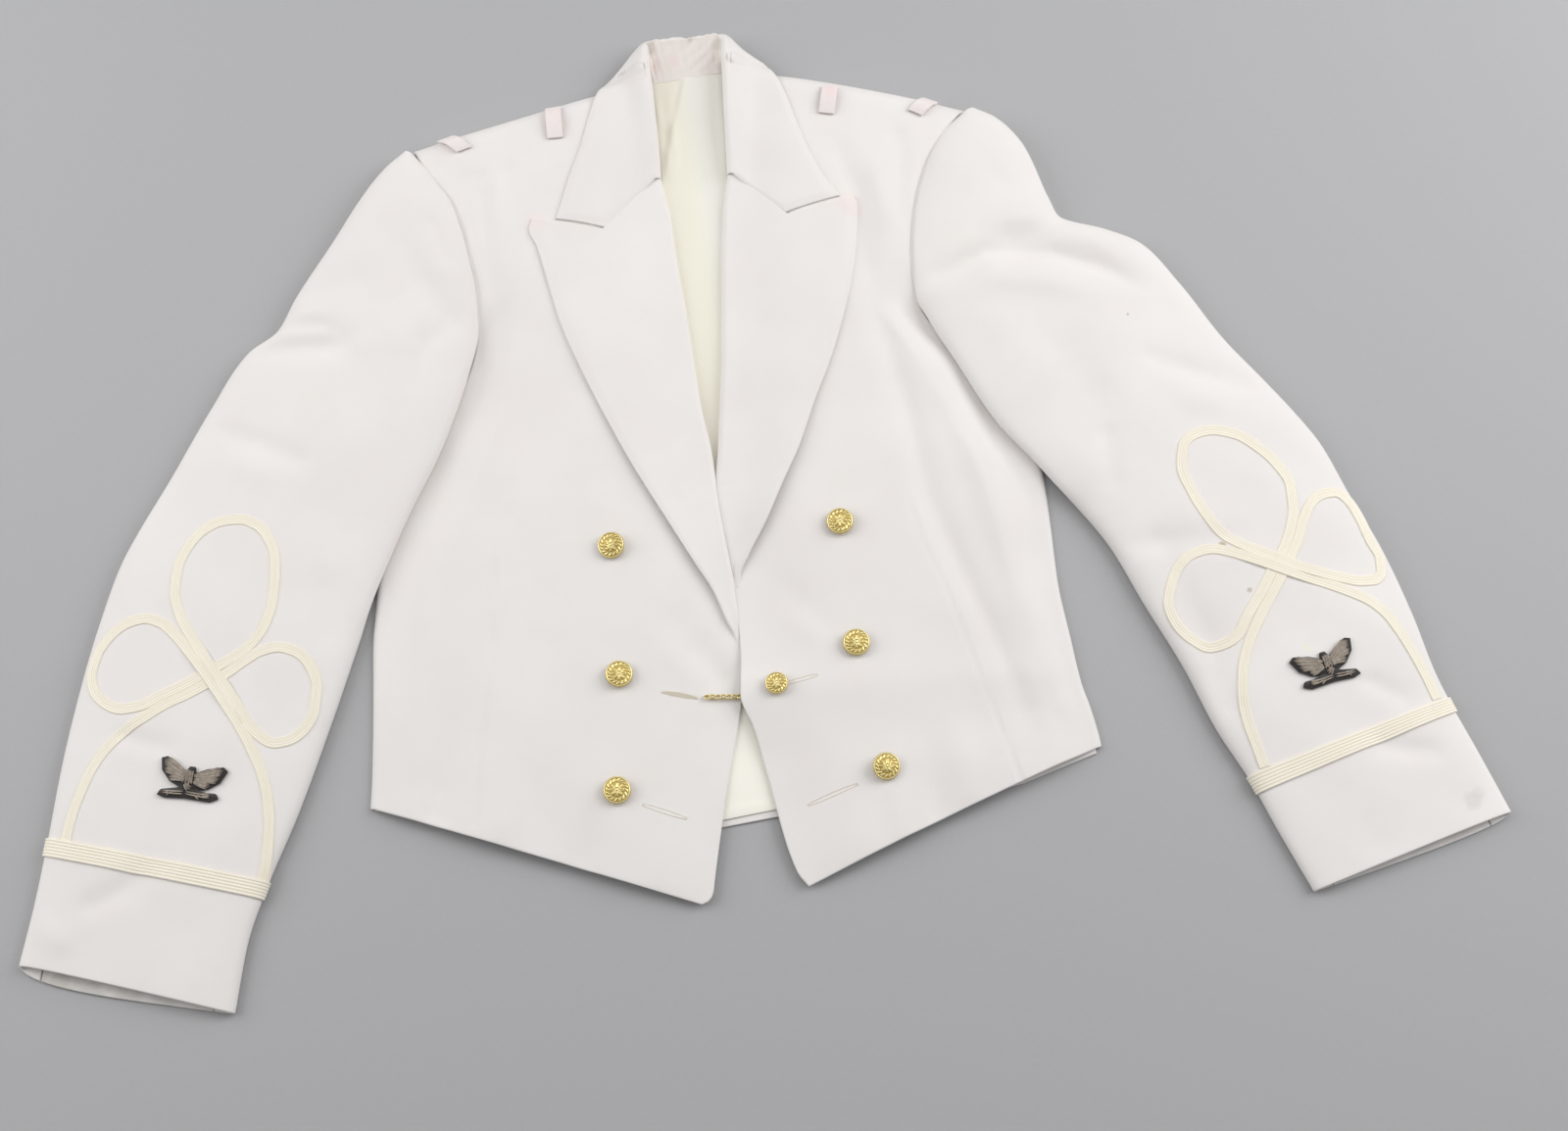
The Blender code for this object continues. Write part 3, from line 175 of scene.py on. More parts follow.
def shell(name, grid, thick, made_of, stands_for=(), relief=None):
    """A closed wall round a middle surface, and its upper side as a grid.

    Each side is the middle moved half the thickness along the normal, falling to
    nothing at the rim by a quarter circle. The relief, a function of the distances
    across and along in millimetres, is added to the upper side. The cloth map
    holds those distances in metres.
    """
    grid = edged(grid, thick / 2)
    rows, columns = grid.shape[:2]
    steps = np.linalg.norm(np.diff(grid, axis=1), axis=2)
    across = np.concatenate([np.zeros((rows, 1)), np.cumsum(steps, axis=1)], axis=1)
    across = across - across[:, columns // 2][:, None]
    along = lengths(grid[:, columns // 2])[:, None] + 0 * across
    rise = [np.ones(n) for n in (rows, columns)]
    rim = quarter(RIM_STEPS)
    for line in rise:
        line[:len(rim)] = rim
        line[-len(rim):] = rim[::-1]
    full = np.minimum(rise[0][:, None], rise[1][None])
    out = normals(grid)
    half = (full * thick / 2)[..., None]
    added = 0 if relief is None else (full * relief(across, along))[..., None]
    upper = grid + out * (half + added)
    lower = grid - out * half
    for side in (upper, lower):
        side[..., 2] = np.maximum(side[..., 2], TABLE_CLEAR)
    top = np.arange(rows * columns).reshape(rows, columns)
    under = top.copy()
    under[1:-1, 1:-1] = rows * columns + np.arange((rows - 2) * (columns - 2)).reshape(rows - 2, -1)
    cells = quads(rows, columns)
    faces = np.concatenate([cells, under.ravel()[cells][:, ::-1]])
    if np.cross(np.gradient(grid, axis=0), np.gradient(grid, axis=1))[..., 2].mean() > 0:
        faces = faces[:, ::-1]
    points = np.concatenate([upper.reshape(-1, 3), lower[1:-1, 1:-1].reshape(-1, 3)])
    cloth_map = np.stack([across, along], -1) * MM
    cloth_map = np.concatenate([cloth_map.reshape(-1, 2), cloth_map[1:-1, 1:-1].reshape(-1, 2)])
    return add_mesh(name, points, faces, cloth_map, made_of, stands_for), upper


def pressed(x, y, paths):
    """How far soft creases press the cloth down at (x, y).

    A path is rows of (x, y, depth, width). Its crease is the depth at the nearest
    point of the path times a bell of the distance over the width there. A depth
    below zero is a ridge.
    """
    drop = np.zeros_like(x)
    for path in paths:
        rows = np.array(path, float)
        most = np.zeros_like(x)
        for a, b in zip(rows[:-1], rows[1:]):
            way = b[:2] - a[:2]
            t = np.clip(((x - a[0]) * way[0] + (y - a[1]) * way[1]) / (way @ way), 0, 1)
            apart = (x - a[0] - t * way[0]) ** 2 + (y - a[1] - t * way[1]) ** 2
            deep, wide = a[2] + t * (b[2] - a[2]), a[3] + t * (b[3] - a[3])
            here = deep * np.exp(-apart / wide**2)
            most = np.where(np.abs(here) > np.abs(most), here, most)
        drop += most
    return drop


def uneven(x, y, wave, seed):
    """Slow swells of about one wavelength, as cloth has where it lies loose, from -1 to 1."""
    turn = np.random.default_rng(seed).uniform(0, 2 * math.pi, 10)
    total = np.zeros_like(x)
    for step in range(5):
        way = turn[step]
        far = x * math.cos(way) + y * math.sin(way)
        total += np.sin(far * 2 * math.pi / (wave * (0.7 + 0.2 * step)) + turn[step + 5])
    return total / 3


class Wire:
    """A shader socket that sums, differences, products, ratios and powers are written on."""

    def __init__(self, tree, socket=None):
        self.tree, self.socket = tree, socket

    def node(self, kind, settings, sockets, out=0):
        """A node of a type, with its settings and its sockets' values or links."""
        made = self.tree.nodes.new("ShaderNode" + kind)
        for key, value in settings.items():
            setattr(made, key, value)
        for key, value in sockets.items():
            if isinstance(value, Wire):
                self.tree.links.new(value.socket, made.inputs[key])
            else:
                made.inputs[key].default_value = value
        return Wire(self.tree, made.outputs[out])

    def math(self, operation, *others):
        """One step of arithmetic on this value and the others."""
        return self.node("Math", {"operation": operation}, dict(enumerate((self,) + others)))

    def __add__(self, other): return self.math("ADD", other)
    __radd__ = __add__
    def __sub__(self, other): return self.math("SUBTRACT", other)
    def __rsub__(self, other): return self * -1.0 + other
    def __mul__(self, other): return self.math("MULTIPLY", other)
    __rmul__ = __mul__
    def __truediv__(self, other): return self.math("DIVIDE", other)
    def __pow__(self, other): return self.math("POWER", other)

    def mix(self, first, second):
        """Two colours mixed by this value."""
        return self.node("Mix", {"data_type": "RGBA"}, {0: self, 6: first, 7: second}, out=2)

    def noise(self, scale, detail=2.0, rough=0.5):
        """Cloudy noise from 0 to 1 over this vector, at a number of features a metre."""
        return self.node("TexNoise", {}, {"Vector": self, "Scale": scale, "Detail": detail,
                                          "Roughness": rough})

    def ramp(self, low, high):
        """0 below the low value, 1 above the high one, smooth between."""
        return self.node("MapRange", {"interpolation_type": "SMOOTHSTEP"},
                         {0: self, 1: low, 2: high})

    def wave(self, pitch):
        """A sine of this distance from 0 to 1, once in each pitch."""
        return (self * (2 * math.pi / pitch)).math("SINE") * 0.5 + 0.5

    def stretched(self, *scale):
        """This vector times a scale on each axis."""
        return self.node("VectorMath", {"operation": "MULTIPLY"}, {0: self, 1: scale})

    def parts(self):
        """This vector's first two parts."""
        first = self.node("SeparateXYZ", {}, {0: self})
        return first, Wire(self.tree, first.socket.node.outputs[1])

    def raised(self, distance, strength=1.0):
        """A normal from this height, in shares of a distance in metres."""
        return self.node("Bump", {}, {"Height": self, "Distance": distance, "Strength": strength})


def finish(name, **fixed):
    """A new Principled material, wires of its place and its cloth map, and its shader."""
    made = bpy.data.materials.new(name)
    made.use_nodes = True
    shader = made.node_tree.nodes["Principled BSDF"]
    for key, value in fixed.items():
        shader.inputs[key.replace("_", " ")].default_value = value
    wire = Wire(made.node_tree)
    place = wire.node("TexCoord", {}, {}, out=3)
    cloth_map = wire.node("UVMap", {"uv_map": "cloth_map"}, {})
    return made, place, cloth_map, shader


def feed(shader, **wires):
    """Links wires to the shader's sockets."""
    for key, wire in wires.items():
        wire.tree.links.new(wire.socket, shader.inputs[key.replace("_", " ")])


# Marks that years in a wardrobe left on the white cloth, and one broad painted shade, the grey one
# at (130, 40) over the left front's long trough: where each is, how far it reaches, its colour and
# how strong it is.
STAINS_AND_SHADE = (
    (479, -231, 8, (0.52, 0.50, 0.48), 0.32), (483, -226, 6, (0.58, 0.56, 0.54), 0.2),
    (474, -226, 13, (0.70, 0.68, 0.66), 0.16), (55, 219, 13, (0.86, 0.62, 0.60), 0.22),
    (-178, 203, 12, (0.86, 0.64, 0.62), 0.16), (-166, 285, 13, (0.88, 0.66, 0.64), 0.16),
    (40, 306, 12, (0.88, 0.66, 0.64), 0.14), (-245, 270, 13, (0.88, 0.68, 0.66), 0.14),
    (317, -49, 3.5, (0.45, 0.33, 0.20), 0.75), (334, -82, 2.2, (0.42, 0.32, 0.24), 0.55),
    (258, 129, 1.6, (0.40, 0.33, 0.28), 0.6), (371, -124, 3.5, (0.88, 0.80, 0.52), 0.3),
    # Painted shade: the grey patch at (130, 40) stands for the shade of the left front's trough
    (-190, 60, 60, (0.84, 0.76, 0.75), 0.12), (130, 40, 70, (0.78, 0.78, 0.76), 0.12),
)
TWILL_PITCH = 0.00062
CLOTH_WHITE = (0.815, 0.785, 0.765)


def shade(colour, red, green, blue):
    """A colour with its parts scaled."""
    return (colour[0] * red, colour[1] * green, colour[2] * blue, 1)


def white_twill(name, white=CLOTH_WHITE, marks=STAINS_AND_SHADE):
    """White twill: fine slanting ribs, slubs, faint clouds of tone, and the given marks: old
    stains, and painted shade where their table holds it.
    """
    made, place, cloth_map, shader = finish(name, Roughness=0.82, Sheen_Weight=0.12,
                                            Sheen_Roughness=0.5, IOR=1.35)
    u, v = cloth_map.parts()
    rib = (u + v * 0.9).wave(TWILL_PITCH)
    weft = v.wave(TWILL_PITCH * 0.8)
    slub = cloth_map.stretched(1, 0.2, 1).noise(1400)
    nap = place.noise(5200, 2.0, 0.7)
    weave = rib * 0.5 + weft * 0.25 + slub * 0.5 + nap * 0.5
    colour = place.noise(9, 3.0).ramp(0.35, 0.7).mix(shade(white, 1, 1, 1),
                                                     shade(white, 0.975, 0.968, 0.972))
    patches = place.noise(38, 3.0, 0.6).ramp(0.4, 0.75) * 0.5
    colour = patches.mix(colour, shade(white, 0.985, 0.965, 0.945))
    colour = ((1 - weave) * 0.16).mix(colour, shade(white, 0.8, 0.79, 0.78))
    edge = place.noise(160, 3.0) - 0.5
    flat = place.stretched(1, 1, 0)
    for x, y, reach, tint, strength in marks:
        centre = tuple((np.array([x, y, 0]) + TO_MIDDLE) * MM)
        away = flat.node("VectorMath", {"operation": "DISTANCE"}, {0: flat, 1: centre}, out=1)
        mask = 1 - (away / (reach * MM) + edge * 0.9).ramp(0.35, 1.1)
        colour = (mask * strength).mix(colour, tint + (1,))
    feed(shader, Base_Color=colour, Roughness=0.78 + nap * 0.1, Normal=weave.raised(0.00010, 0.6))
    return made


def resample(points, count):
    """Evenly spaced points along a line of points."""
    points = np.array(points, float)
    far = lengths(points)
    at = np.linspace(0, far[-1], count)
    return np.stack([np.interp(at, far, column) for column in points.T], axis=-1)


def back_grid(rows=70, columns=84):
    """The back: straight lines from its top to its hem, pulled in inside the side seams.

    The pull falls off by the square of the share of the way across.
    """
    s = np.linspace(0, 1, rows)[:, None, None]
    grid = resample(BACK_TOP, columns) * (1 - s) + resample(BACK_HEM, columns) * s
    for side, column, inset in ((BACK_SIDE_RIGHT, 0, BACK_INSET),
                                (BACK_SIDE_LEFT, -1, -BACK_INSET)):
        shift = drawn(side, rows) + np.array([inset, 0]) - grid[:, column]
        shift[0] = shift[-1] = 0
        weight = np.linspace(1, 0, columns) if column == 0 else np.linspace(0, 1, columns)
        grid = grid + shift[:, None] * (weight**2)[None, :, None]
    return np.concatenate([grid, np.full((rows, columns, 1), BACK_WALL / 2)], axis=-1)


twill = white_twill("white_twill")
back, _ = shell("back_panel", back_grid(), BACK_WALL, twill, ["back"])


# The back's satin lining, inside the coat: it shows in the V of the neck, with the
# easing pleat down its middle, and in the gap between the cut-away fronts.
LINING_WALL = 1.0
LINING_GAP = 0.4
LINING_Z = BACK_WALL + LINING_GAP + LINING_WALL / 2
# Its two edges, at levels from the neck to the hem
LINING = (
    (-98, -36, 327), (-118, -14, 300), (-118, -10, 240), (-110, -10, 150), (-96, -10, 60),
    (-80, 6, -40), (-78, 40, -130), (-86, 60, -200), (-88, 66, -241),
)
NECK_SLANT = 0.17
NECK_DEEP = 50.0
NECK_RISE = 2.6
HEM_SLANT = 0.205
HEM_DEEP = 50
HEM_LEVEL = -190
HEM_MIDDLE = -22
PLEAT_TOP = (-71, 323.5)
PLEAT_SLANT = 0.17
PLEAT_FOOT = 190.0
PLEAT_FADE = 60.0
PLEAT_HIGH = 1.5
PLEAT_STEEP = 2.2
PLEAT_SOFT = 14
# Soft ripples of the satin, where the coat's weight has crumpled it
LINING_CREASES = (
    ((-70, 296, 0, 5), (-66, 262, -0.9, 7), (-62, 225, -0.6, 9), (-60, 200, 0, 9)),
    ((-92, 318, 0, 4), (-88, 298, -1.7, 4.5), (-85, 284, -0.4, 4.5), (-84, 272, -1.6, 4.5),
     (-80, 250, -1.2, 5), (-77, 228, 0, 5)),
    ((-82, 322, 0, 3.5), (-80, 300, -1.2, 4), (-77, 276, -1.7, 3.5), (-75, 258, -0.9, 3.5),
     (-73, 240, 0, 4)),
    ((-90, 262, 0, 4), (-87, 240, -1.0, 4.5), (-83, 215, -0.8, 5), (-80, 190, 0, 5)),
    ((-46, 318, 0, 6), (-48, 286, 0.5, 8), (-52, 250, 0, 8)),
    ((-24, -60, 0, 6), (-12, -110, -0.6, 8), (-8, -160, 0, 8)),
    ((-6, -150, 0, 6), (2, -196, 0.6, 8), (8, -236, 0.4, 8)),
    ((-26, -170, 0, 6), (-30, -205, -0.6, 8), (-32, -238, -0.4, 8)),
    ((-38, -238, 0, 2), (-30, -237, -0.35, 2.4), (-10, -233, -0.35, 2.4), (3, -230, 0, 2)),
)


def lining_grid(rows=200, columns=62):
    """The lining: level, but for a rise to the neck, the pleat's step and the ripples.

    The pleat is laid over to one side, so its height falls off steeply on that side
    and slowly on the other. The lines across slant near the neck and the hem.
    """
    table = np.array(LINING, float)
    knots = (table[0, 2] - table[:, 2]) / (table[0, 2] - table[-1, 2])
    left, right, level = curve(knots, table, np.linspace(0, 1, rows)).T
    share = np.linspace(0, 1, columns)
    x = left[:, None] * (1 - share) + right[:, None] * share
    near_neck = smooth(1 - (level[0] - level[:, None]) / NECK_DEEP)
    near_hem = smooth((HEM_LEVEL - level[:, None]) / HEM_DEEP)
    y = (level[:, None] + NECK_SLANT * near_neck * (x - left[0])
         + HEM_SLANT * near_hem * (x - HEM_MIDDLE))
    pleat = PLEAT_TOP[0] - PLEAT_SLANT * (PLEAT_TOP[1] - y)
    beside = x - pleat
    fold = np.where(beside < 0, np.exp(-((beside / PLEAT_STEEP) ** 2)),
                    np.exp(-beside / PLEAT_SOFT))
    height = LINING_Z + PLEAT_HIGH * smooth((y - PLEAT_FOOT) / PLEAT_FADE) * fold
    height = height + NECK_RISE * smooth((level[:, None] - 50) / 70)
    height = height + 0.16 * uneven(x, y, 46, 3) - pressed(x, y, LINING_CREASES)
    return np.stack([x, y, np.maximum(height, LINING_Z - 0.2)], axis=-1)


def cream_satin(name):
    """Satin: long fine floats down the cloth, with painted shade, darker and yellower, left of the
    pleat and painted light towards the hem, where the lining lies between the fronts.
    """
    made, place, cloth_map, shader = finish(name, Roughness=0.42, Sheen_Weight=0.25,
                                            Sheen_Roughness=0.3, IOR=1.45)
    floats = cloth_map.stretched(1, 0.06, 1).noise(2600)
    cross = cloth_map.stretched(0.25, 1, 1).noise(900)
    clouds = place.noise(22, 3.0).ramp(0.3, 0.7)
    x, y = place.parts()
    colour = clouds.mix((0.79, 0.775, 0.72, 1), (0.78, 0.755, 0.685, 1))
    # Painted shade: darker and yellower on the lining left of the pleat
    colour = (x + y * PLEAT_SLANT).ramp(-0.006, -0.026).mix(colour, (0.80, 0.765, 0.645, 1))
    # Painted light: brighter towards the hem, against the shade that the fronts' edges cast on the
    # lining between them
    colour = y.ramp(0.05, -0.12).mix(colour, (0.90, 0.875, 0.79, 1))
    colour = (floats * 0.25).mix(colour, (0.88, 0.87, 0.80, 1))
    feed(shader, Base_Color=colour, Roughness=0.27 + floats * 0.16 + cross * 0.06,
         Normal=(floats * 0.6 + cross * 0.4).raised(0.00008, 0.5))
    return made


lining, _ = shell("satin_lining", lining_grid(), LINING_WALL, cream_satin("cream_satin"),
                  ["back_lining"])


# The fronts: white twill over canvas, cut away below the chain, with the chest
# shaped by a seam. They swell at the chest and turn over at the shoulder and side.
FACE_WALL = 2.0
SIDE_CURL = 4.0
SHOULDER_CURL = 15.0
CHEST_RISE = 34.0
EDGE_FALL = 55.0
FRONT_COLUMNS = ("side_x", "side_y", "edge_x", "edge_y", "crown", "side_z",
                 "edge_z", "shelf", "curl", "bow")
FRONT_RIGHT = (
    (-275, 269, -104, 327.5, 18, 14, 13, 2, 0.10, 0),
    (-261, 246, -101, 306, 19, 15, 13, 2, 0.08, 0),
    (-242.3, 221, -97, 282, 19, 15.5, 12, 2, 0.08, 0),
    (-228.2, 180, -91.5, 243, 17, 15, 9, 2, 0.08, 0),
    (-220.3, 141, -83, 205, 15, 11, 7, 2, 0.08, 0),
    (-219.5, 116, -79, 180, 14, 5, 7, 2, 0.0, 0),
    (-228.5, 75, -72.5, 145, 14, 3, 6.5, 9, 0.0, 0),
    (-241, 50, -62.5, 85, 13.5, 3, 6, 14, 0.0, 0),
    (-267, 23, -51, 27, 13, 3, 6, 27, 0.5, 0),
    (-277, -25, -41, -28, 12, 3, 6, 21, 1, 0),
    (-282, -70, -32.6, -77, 11, 3, 5.5, 9, 1, 0),
    (-282.7, -98, -24.6, -112, 10.5, 3.3, 5, 5, 1, 0),
    (-283, -113, -21.8, -127, 10, 3.4, 5, 4, 1, 0),
    (-281, -150, -23.2, -158, 9.5, 3.6, 4.6, 3, 1, 0),
    (-279, -190, -33.5, -226, 9, 3.6, 5, 3, 1, 0),
    (-278, -224, -41, -286, 8.6, 3.6, 5, 3, 1, 0),
    (-278, -230, -41.8, -294, 8.5, 3.6, 5, 3, 1, 0),
    (-278, -234, -44.2, -299.4, 8.5, 3.6, 5, 3, 1, 0),
    (-278, -236, -49.5, -302.4, 8.4, 3.6, 5, 3, 1, 0),
)
FRONT_LEFT = (
    (144, 304, -32, 338, 18, 14, 13, 2, 0.10, 3),
    (125.8, 280, -32, 317, 19, 15, 13, 2, 0.08, 2.5),
    (111.7, 250, -32, 285, 19, 15.5, 12, 2, 0.08, 1),
    (103.2, 210, -32.5, 247, 17, 15, 9, 2, 0.08, 0),
    (101.2, 178, -35.3, 205, 15, 14, 7, 2, 0.08, 0),
    (103.2, 150, -36, 172, 14.5, 9, 7, 2, 0.05, 0),
    (115, 127, -36, 150, 14, 3.5, 6.5, 5, 0.0, 0),
    (141, 104, -36, 122, 14, 3, 6.5, 14, 0.0, 0),
    (164, 72, -36.5, 85, 13.5, 3, 6, 20, 0.0, 0),
    (183, 48, -37, 55, 13, 3, 6, 26, 0.5, 0),
    (192, 15, -37, 8, 12.5, 3, 6, 16, 1, 0),
    (197, -33, -31.4, -45, 11.5, 3, 6, 6, 1, 0),
    (198.6, -54, -30.6, -70, 11, 3.2, 6, 5, 1, 0),
    (200.5, -74, -28.0, -88, 10.5, 3.4, 6, 4, 1, 0),
    (208, -115, -24.2, -135, 10.5, 3.6, 8.5, 3, 1, 1),
    (212, -137, -24.2, -158, 11, 3.6, 12.0, 3, 1, 2),
    (215, -150, -15, -180, 10, 3.6, 9, 3, 1, 2.5),
    (219, -162, -6.5, -209, 9, 3.6, 5.5, 3, 1, 2),
    (225, -186, 15, -280, 8.5, 3.6, 5, 3, 1, 1.5),
    (226, -192, 23, -290, 8.4, 3.6, 5, 3, 1, 1.5),
)
CREASES_RIGHT = (
    ((-222, 250, 0, 9), (-220, 239, 1.0, 9), (-218, 201, 1.2, 9), (-217, 163, 0.9, 10),
     (-217, 140, 0, 10)),
    ((-200, 256, 0, 7), (-199, 244, 0.7, 7), (-196, 182, 0.7, 8), (-195, 160, 0, 8)),
    ((-168, 150, 0, 22), (-175, 114, 0.9, 24), (-190, 40, 1.2, 26), (-207, -28, 1.3, 26),
     (-220, -120, 1.1, 24), (-231, -216, 1.0, 22), (-234, -238, 0.6, 20)),
    ((-229, -170, 0, 9), (-231, -227, 1.0, 9), (-232, -240, 0.8, 9)),
    ((-184, -190, 0, 14), (-187, -247, -1.0, 12), (-188, -252, -0.9, 12)),
    ((-126, -236, 0, 10), (-131, -271, 0.9, 10), (-132, -278, 0.7, 10)),
    ((-88, -84, 0, 12), (-71, -102, 0.8, 13), (-53, -124, 1.6, 12), (-38, -143, 1.6, 10),
     (-29, -153, 0, 8)),
    ((-96, -106, 0, 13), (-76, -126, -0.5, 13), (-60, -142, -0.4, 11), (-48, -152, 0, 10)),
    ((-150, 20, 0, 12), (-128, -14, -0.6, 14), (-104, -60, -0.5, 12), (-92, -90, 0, 10)),
    ((-252, -40, 0, 8), (-256, -110, 0.6, 9), (-257, -190, 0.5, 9), (-256, -232, 0, 8)),
    ((-160, -60, 0, 12), (-156, -120, 0.5, 14), (-150, -170, 0, 12)),
)
CREASES_LEFT = (
    ((40, 282, 0, 8), (47, 262, 1.2, 9), (62, 219, 1.6, 10), (74, 134, 1.7, 10), (95, 57, 1.7, 10),
     (108, -6, 1.5, 10), (128, -57, 1.5, 9), (151, -108, 1.4, 9), (173, -166, 0.8, 9),
     (180, -190, 0, 8)),
    ((112, 120, 0, 10), (123, 94, -1.0, 11), (150, 4, -1.3, 11), (172, -74, -1.3, 10),
     (201, -162, -0.8, 9), (212, -182, 0, 9)),
    ((120, -150, 0, 10), (129, -201, -1.0, 11), (132, -226, -0.8, 10)),
    ((78, -180, 0, 9), (85, -238, -0.9, 10), (88, -252, -0.7, 9)),
    ((104, -170, 0, 9), (108, -222, 0.8, 9), (110, -240, 0.6, 9)),
    ((90, 290, 0, 7), (92, 275, 1.0, 8), (96, 212, 1.1, 8), (97, 190, 0, 8)),
    ((72, 262, 0, 7), (75, 246, -0.8, 8), (83, 213, -0.8, 8), (85, 195, 0, 8)),
    ((112, 275, 0, 5), (111, 260, -0.8, 6), (104, 213, -0.8, 6), (103, 196, 0, 6)),
    ((4, -96, 0, 8), (24, -112, -0.5, 9), (50, -128, 0, 9)),
    ((-10, -60, 0, 9), (16, -86, 0.5, 10), (44, -118, 0, 9)),
)
# The shaping seam up each front, from the hem
SEAM_RIGHT = ((-206, -250), (-203, -206), (-201, -144), (-200, -101), (-200, -70), (-199, -46))
SEAM_LEFT = ((170, -220), (168, -213), (154, -175), (143, -144), (120, -79), (107, -50),
             (98, -24), (92, -6))
SEAM_DEPTH = 1.3
SEAM_WIDE = 1.2
SEAM_FADE = 14
CREASED = 1.85
FRONT_SWELL = 0.55
FRONT_WAVE = 85
CURL_STEPS = (0, 28, 45, 60, 74)
CURL_END = 4.2
TURN_STEPS = (0, 62, 9)


def at_rows(table, columns, at):
    """Every column of a table at distances along the middle of its first four columns."""
    rows = np.array(table, float)
    return dict(zip(columns, curve(lengths((rows[:, 0:2] + rows[:, 2:4]) / 2), rows, at).T))


def down(table):
    """The length of a table's rows down their middle."""
    rows = np.array(table, float)
    return lengths((rows[:, 0:2] + rows[:, 2:4]) / 2)[-1]


def spot(row, name, axes="xy"):
    """Points from the columns that hold one name's coordinates."""
    return np.stack([row[name + "_" + axis] for axis in axes], -1)


def seam(points):
    """A narrow crease along a sewn line, fading at its last point."""
    line = drawn(points, 16)
    fade = np.minimum(1, (lengths(line)[-1] - lengths(line)) / SEAM_FADE)
    return [(x, y, SEAM_DEPTH * f, SEAM_WIDE) for (x, y), f in zip(line, fade)]


def front_grid(table, creases, sewn, seed, rows=186, columns=92):
    """A front: its low shelf by the side rises to the crown and thins to the front edge.

    Quarter circles close it at the side and the shoulder, and the creases press it down.
    The seam is a groove with a low swelling three times as wide round it.
    """
    total = down(table)
    turn = SHOULDER_CURL * (1 - np.cos(np.radians(np.linspace(*TURN_STEPS))))
    along = np.concatenate([turn, np.linspace(turn[-1] + 2, total, rows)])
    row = {key: value[:, None] for key, value in at_rows(table, FRONT_COLUMNS, along).items()}
    side, edge = spot(row, "side"), spot(row, "edge")
    width = np.linalg.norm(edge - side, axis=-1)
    close = SIDE_CURL * (1 - np.cos(np.radians(CURL_STEPS)))[None] + 0 * width
    rest = CURL_END + (width - CURL_END) * np.linspace(0, 1, columns)
    reach = np.concatenate([close, rest], axis=1)
    share = reach / width
    plan = side * (1 - share[..., None]) + edge * share[..., None]
    plan[..., 1] += row["bow"] * np.sin(math.pi * share)
    swell = smooth((reach - row["shelf"]) / CHEST_RISE)
    height = row["side_z"] + (row["crown"] - row["side_z"]) * swell
    height = row["edge_z"] + (height - row["edge_z"]) * smooth((width - reach) / EDGE_FALL)
    x, y = plan[..., 0], plan[..., 1]
    loose = smooth(reach / 20) * smooth((along[:, None] - 12) / 30)
    creases_and_shade = CREASED * pressed(x, y, creases) + FRONT_SWELL * uneven(x, y, FRONT_WAVE, seed)
    height = height - creases_and_shade * loose
    round_it = [(a, b, deep, wide * 3) for a, b, deep, wide in sewn]
    height = height - pressed(x, y, [sewn]) + 0.25 * pressed(x, y, [round_it])
    height = height * (1 - row["curl"] * (1 - quarter(reach / SIDE_CURL)))
    height = height * quarter(along[:, None] / SHOULDER_CURL)
    return np.concatenate([plan, height[..., None]], axis=-1)


front_tops = {}
for side, table, creases, points, seed, area in (
        ("right", FRONT_RIGHT, CREASES_RIGHT, SEAM_RIGHT, 11, 0.121),
        ("left", FRONT_LEFT, CREASES_LEFT, SEAM_LEFT, 12, 0.115)):
    front, front_tops[side] = shell(
        "front_panel_" + side, front_grid(table, creases, seam(points), seed),
        FACE_WALL, twill, ["front_" + side])


# The lapels: each front's facing turned back over a soft roll and pressed flat on
# the chest, with a peak at the gorge where the collar joins it.
LAID_GAP = 0.6
ROLL = 3.7
ROLL_SOFT = 14.0
LAPEL_COLUMNS = ("roll_x", "roll_y", "outer_x", "outer_y", "dip", "roll")
LAPEL_RIGHT = (
    (-86.4, 243.2, -181, 206.6, 29.6, 1.0),
    (-83.6, 232, -183.6, 198, 24, 1.0),
    (-79, 213, -177, 183, 15, 1.0),
    (-74, 180, -168, 154, 7, 1.0),
    (-67.2, 141, -157, 120, 2, 1.0),
    (-60, 97, -141, 84, 0, 1.0),
    (-54, 60, -122.8, 48, 0, 1.0),
    (-46.4, 27, -102, 10, 0, 1.0),
    (-42.4, 2, -84, -19, 0, 1.0),
    (-36.9, -30, -61.8, -54, 0, 0.9),
    (-30.5, -66, -43.4, -83, 0, 0.8),
    (-26.2, -95, -33.8, -103, 0, 0.72),
    (-23.4, -110, -28.8, -112, 0, 0.6),
    (-22.0, -122, -25.4, -123, 0, 0.3),
)
LAPEL_LEFT = (
    (-36.6, 246.6, 58, 226.0, 27, 1.0),
    (-38, 236, 60.6, 218, 22, 1.0),
    (-40, 213, 60, 196, 13, 1.0),
    (-40.6, 180, 57.5, 168, 5, 1.0),
    (-40.2, 141, 51, 134, 1, 1.0),
    (-40, 97, 41, 97, 0, 1.0),
    (-41, 60, 28.5, 62, 0, 1.0),
    (-42, 27, 17, 26, 0, 1.0),
    (-43.6, 2, 6, 0, 0, 0.95),
    (-38.6, -30, -7.5, -32, 0, 0.85),
    (-33.2, -56, -20, -56, 0, 0.72),
    (-31.4, -66, -25, -66, 0, 0.6),
    (-29.4, -78, -26.4, -78, 0, 0.3),
)
NOTCH_RIGHT = 0.42
NOTCH_LEFT = 0.46
# How far each lapel's foot sinks into the front, how far its outer edge is pressed
# down, and how loosely the rest of it lies
LAPEL_SINK = 2.6
LAPEL_THIN = 1.1
LAPEL_LOOSE = 0.25
ROLL_ARC = (-35, 86, 13)
